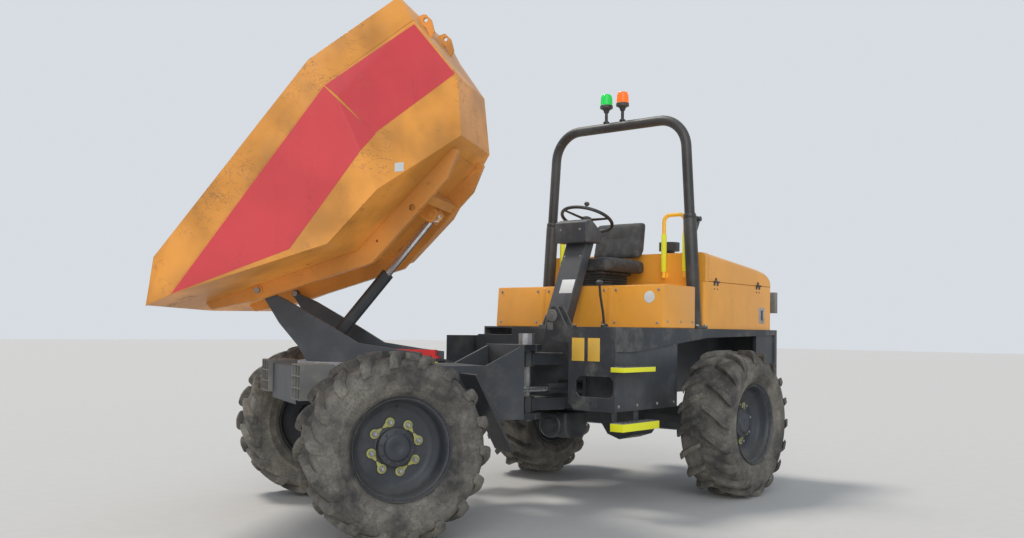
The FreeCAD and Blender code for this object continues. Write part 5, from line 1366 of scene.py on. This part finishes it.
def build_steps():
    """Two folded treads a side, with rows of raised grip rings and hi-vis strips with a painted glow round
    their edges.
    """
    shape = Shape(REAR)
    for side in (-1, 1):
        for top, back, front, deep in STEP_TOPS:
            shape.material = 0
            low, high = sideways(side, STEP_INNER, STEP_OUTER)
            shape.block((back, low, top - 0.006), (front, high, top), bevel=0.002)
            edge, lip = sideways(side, STEP_OUTER - 0.005, STEP_OUTER)
            shape.block((back, edge, top - deep), (front, lip, top - 0.003), bevel=0.0015)
            for x in (back, front - 0.005):
                shape.block((x, low, top - deep), (x + 0.005, high, top - 0.003), bevel=0.0015)
            for k in range(7):
                for row in (0.30, 0.70):
                    x = back + (front - back) * (k + 0.7) / 7.4
                    y = side * (STEP_INNER + (STEP_OUTER - STEP_INNER) * row)
                    shape.turned([(0.010, -0.001), (0.0145, -0.001), (0.0125, 0.004), (0.0105, 0.004)], 18,
                                 Matrix.Translation((x, y, top)), closed=True)
            for x in (back + 0.050, front - 0.110):
                edge, lip = sideways(side, TANK_SIDE, STEP_INNER + 0.006)
                shape.block((x, edge, top - deep - 0.012), (x + 0.040, lip, top - 0.008), bevel=0.002)
            # edge strips in the hi-vis finish, whose emission is a painted glow
            shape.material = 1
            edge, lip = sideways(side, STEP_OUTER - 0.0002, STEP_OUTER + 0.0010)
            shape.block((back + 0.002, edge, top - deep + 0.001), (front + 0.001, lip, top - 0.002),
                        bevel=0.0004)
            shape.block((front - 0.0002, low + 0.002, top - deep + 0.001),
                        (front + 0.0010, high, top - 0.002), bevel=0.0004)
    shape.finish("access_steps", "rear", "deck", "hi_vis_painted_glow", replaces=("steps",))

    hanger = Shape(REAR)
    for side in (-1, 1):
        near, far = sideways(side, TANK_SIDE, TANK_SIDE + 0.006)
        for x in (-0.300, -0.045):
            outline = [(x, HANGER_LOW), (x + 0.040, HANGER_LOW), (x + 0.056, HANGER_HIGH),
                       (x - 0.016, HANGER_HIGH)]
            hanger.slab(outline, near, far, axis="Y", bevel=0.0015)
    hanger.finish("step_hangers", "rear", "frame")


SIDE_PLATE_Y = 0.737
SIDE_PLATE_SHEET = 0.006
SIDE_PLATE_REAR = -0.765
SIDE_PLATE_FRONT = 0.015
SIDE_PLATE_LOW = 0.656
SIDE_PLATE_HIGH = 1.130


def build_side_plates():
    """The plates that close the unit's sides below the deck, from the front panel to the rear tyre."""
    shape = Shape(REAR)
    for side in (-1, 1):
        near, far = sideways(side, SIDE_PLATE_Y - SIDE_PLATE_SHEET, SIDE_PLATE_Y)
        shape.block((SIDE_PLATE_REAR, near, SIDE_PLATE_LOW), (SIDE_PLATE_FRONT, far, SIDE_PLATE_HIGH),
                    bevel=0.002)
        shape.material = 1
        for x in (-0.72, -0.50, -0.25, -0.03):
            for z in (SIDE_PLATE_LOW + 0.034, SIDE_PLATE_HIGH - 0.040):
                shape.bolt((x, side * (SIDE_PLATE_Y - 0.0002), z), (0, side, 0), 0.008, 0.006)
        shape.material = 0
    shape.finish("side_plates", "rear", "frame", "steel")


def build_labels():
    """Blank labels on the front panel, and the disc and plate on the upright ear beside the joint."""
    face = DECK_FRONT + 0.0003
    for name, low, high in (("blank_label_inner", 0.407, 0.507), ("blank_label_outer", 0.535, 0.629)):
        shape = Shape(REAR)
        shape.block((face, low, 0.977), (face + 0.0010, high, 1.127), bevel=0.0004)
        shape.finish(name, "rear", "label")
    shape = Shape(REAR)
    turn = Matrix.Translation((face, 0.242, 1.2725)) @ Matrix.Rotation(math.radians(90), 4, "Y")
    disc = [(0.0, 0.0), (0.041, 0.0), (0.041, 0.006), (0.036, 0.009), (0.020, 0.009), (0.018, 0.012),
            (0.0, 0.012)]
    shape.turned(disc, 40, turn)
    shape.block((face, 0.200, 1.176), (face + 0.0016, 0.248, 1.226), bevel=0.0005)
    shape.finish("ear_disc_and_plate", "rear", "dusty")


BOX_FRONT = -0.300
BOX_REAR = -0.560
BOX_LOW = 0.415
BOX_HIGH = 0.598
BOX_HALF = 0.120
BOX_CUT = 0.055
SHAFT_Z = 0.505
FLANGE_BOLTS = 8
FLANGE_CIRCLE = 0.070


def build_transfer_box():
    """The drop box and shaft flanges that hang under the rear frame behind the joint."""
    shape = Shape(REAR)
    outline = [(BOX_REAR, BOX_LOW + 0.050), (BOX_REAR + BOX_CUT, BOX_LOW), (BOX_FRONT - BOX_CUT, BOX_LOW),
               (BOX_FRONT, BOX_LOW + 0.050), (BOX_FRONT, BOX_HIGH), (BOX_REAR, BOX_HIGH)]
    shape.slab(outline, -BOX_HALF, BOX_HALF, axis="Y", bevel=0.014, segments=3)
    flange = [(0.0, -0.01), (0.088, -0.01), (0.088, 0.018), (0.080, 0.026), (0.052, 0.026), (0.048, 0.058),
              (0.0, 0.058)]
    for x, way in ((BOX_FRONT, 1), (BOX_REAR, -1)):
        turn = Matrix.Translation((x, 0, SHAFT_Z)) @ Matrix.Rotation(math.radians(90 * way), 4, "Y")
        shape.turned(flange, 36, turn)
        for y, z in circle(FLANGE_BOLTS, FLANGE_CIRCLE):
            shape.bolt((x + way * 0.0175, y, SHAFT_Z + z), (way, 0, 0), 0.007, 0.006)
    shape.finish("transfer_box", "rear", "frame")


REAR_LAMP_X = -2.3915
# name, lower edge, upper edge, finish
REAR_LENSES = (
    ("stop", 1.432, 1.497, "red_lens"),
    ("turn", 1.388, 1.430, "amber_lens"),
    ("reverse", 1.353, 1.386, "clear_lens"),
)


def build_rear_lenses():
    """Lamp covers in the rear lamp boxes: red over amber, with a clear strip."""
    for side in (-1, 1):
        low, high = sideways(side, 0.575, 0.715)
        for name, base, top, look in REAR_LENSES:
            shape = Shape(REAR)
            shape.block((REAR_LAMP_X - 0.0017, low, base), (REAR_LAMP_X, high, top), bevel=0.0008)
            shape.finish(f"{name}_lens_{'left' if side > 0 else 'right'}", "rear", look)


build_skip_panels()
build_platform()
build_steps()
build_side_plates()
build_labels()
build_transfer_box()
build_rear_lenses()


# The skip's raised rim band, in the skip's frame: its lower corners on the left from the lip to the rear,
# and the upper corners over its front end, its kink and its rear end
BAND_LOW = ((0.880, 0.800, 1.640), (0.705, 0.862, 1.548), (-0.777, 0.898, 1.680), (-1.363, 0.490, 1.735))
BAND_FRONT = (0.6013, 0.915, 1.7466)
BAND_KINK = (-0.818, 0.9352, 1.8261)
BAND_BACK = (-1.404, 0.5272, 1.8811)
BAND_SHEET = 0.008


def build_rim_band():
    """The band that stands above the side panels all round the skip's mouth, folded from the same sheet."""
    front, kink, back = Vector(BAND_FRONT), Vector(BAND_KINK), Vector(BAND_BACK)
    low = [Vector(point) for point in BAND_LOW]
    high = [front, front.lerp(kink, 0.12), kink, back]
    mirror = Matrix.Diagonal((1, -1, 1, 1))
    low += [mirror @ point for point in reversed(low)]
    high += [mirror @ point for point in reversed(high)]
    count = len(low)
    middle = count // 2
    inward = []
    for k in range(count):
        forward = BAND_SHEET if k in (middle - 1, middle) else 0.0
        inward.append(Vector((forward, -BAND_SHEET if k < middle else BAND_SHEET, 0)))
    points = low + high
    points += [point + step for ring in (low, high) for point, step in zip(ring, inward)]
    faces = []
    for k in range(count - 1):
        a, b, c, d = k, k + 1, count + k + 1, count + k
        faces += [(a, b, c, d), (2 * count + a, 2 * count + d, 2 * count + c, 2 * count + b)]
        faces += [(d, c, 2 * count + c, 2 * count + d), (b, a, 2 * count + a, 2 * count + b)]
    for k in (0, count - 1):
        faces.append((k, count + k, 3 * count + k, 2 * count + k))
    shape = Shape(SKIP)
    shape.surface(points, faces, bevel=0.0015)
    shape.finish("skip_rim_band", "skip", "skip")


build_rim_band()
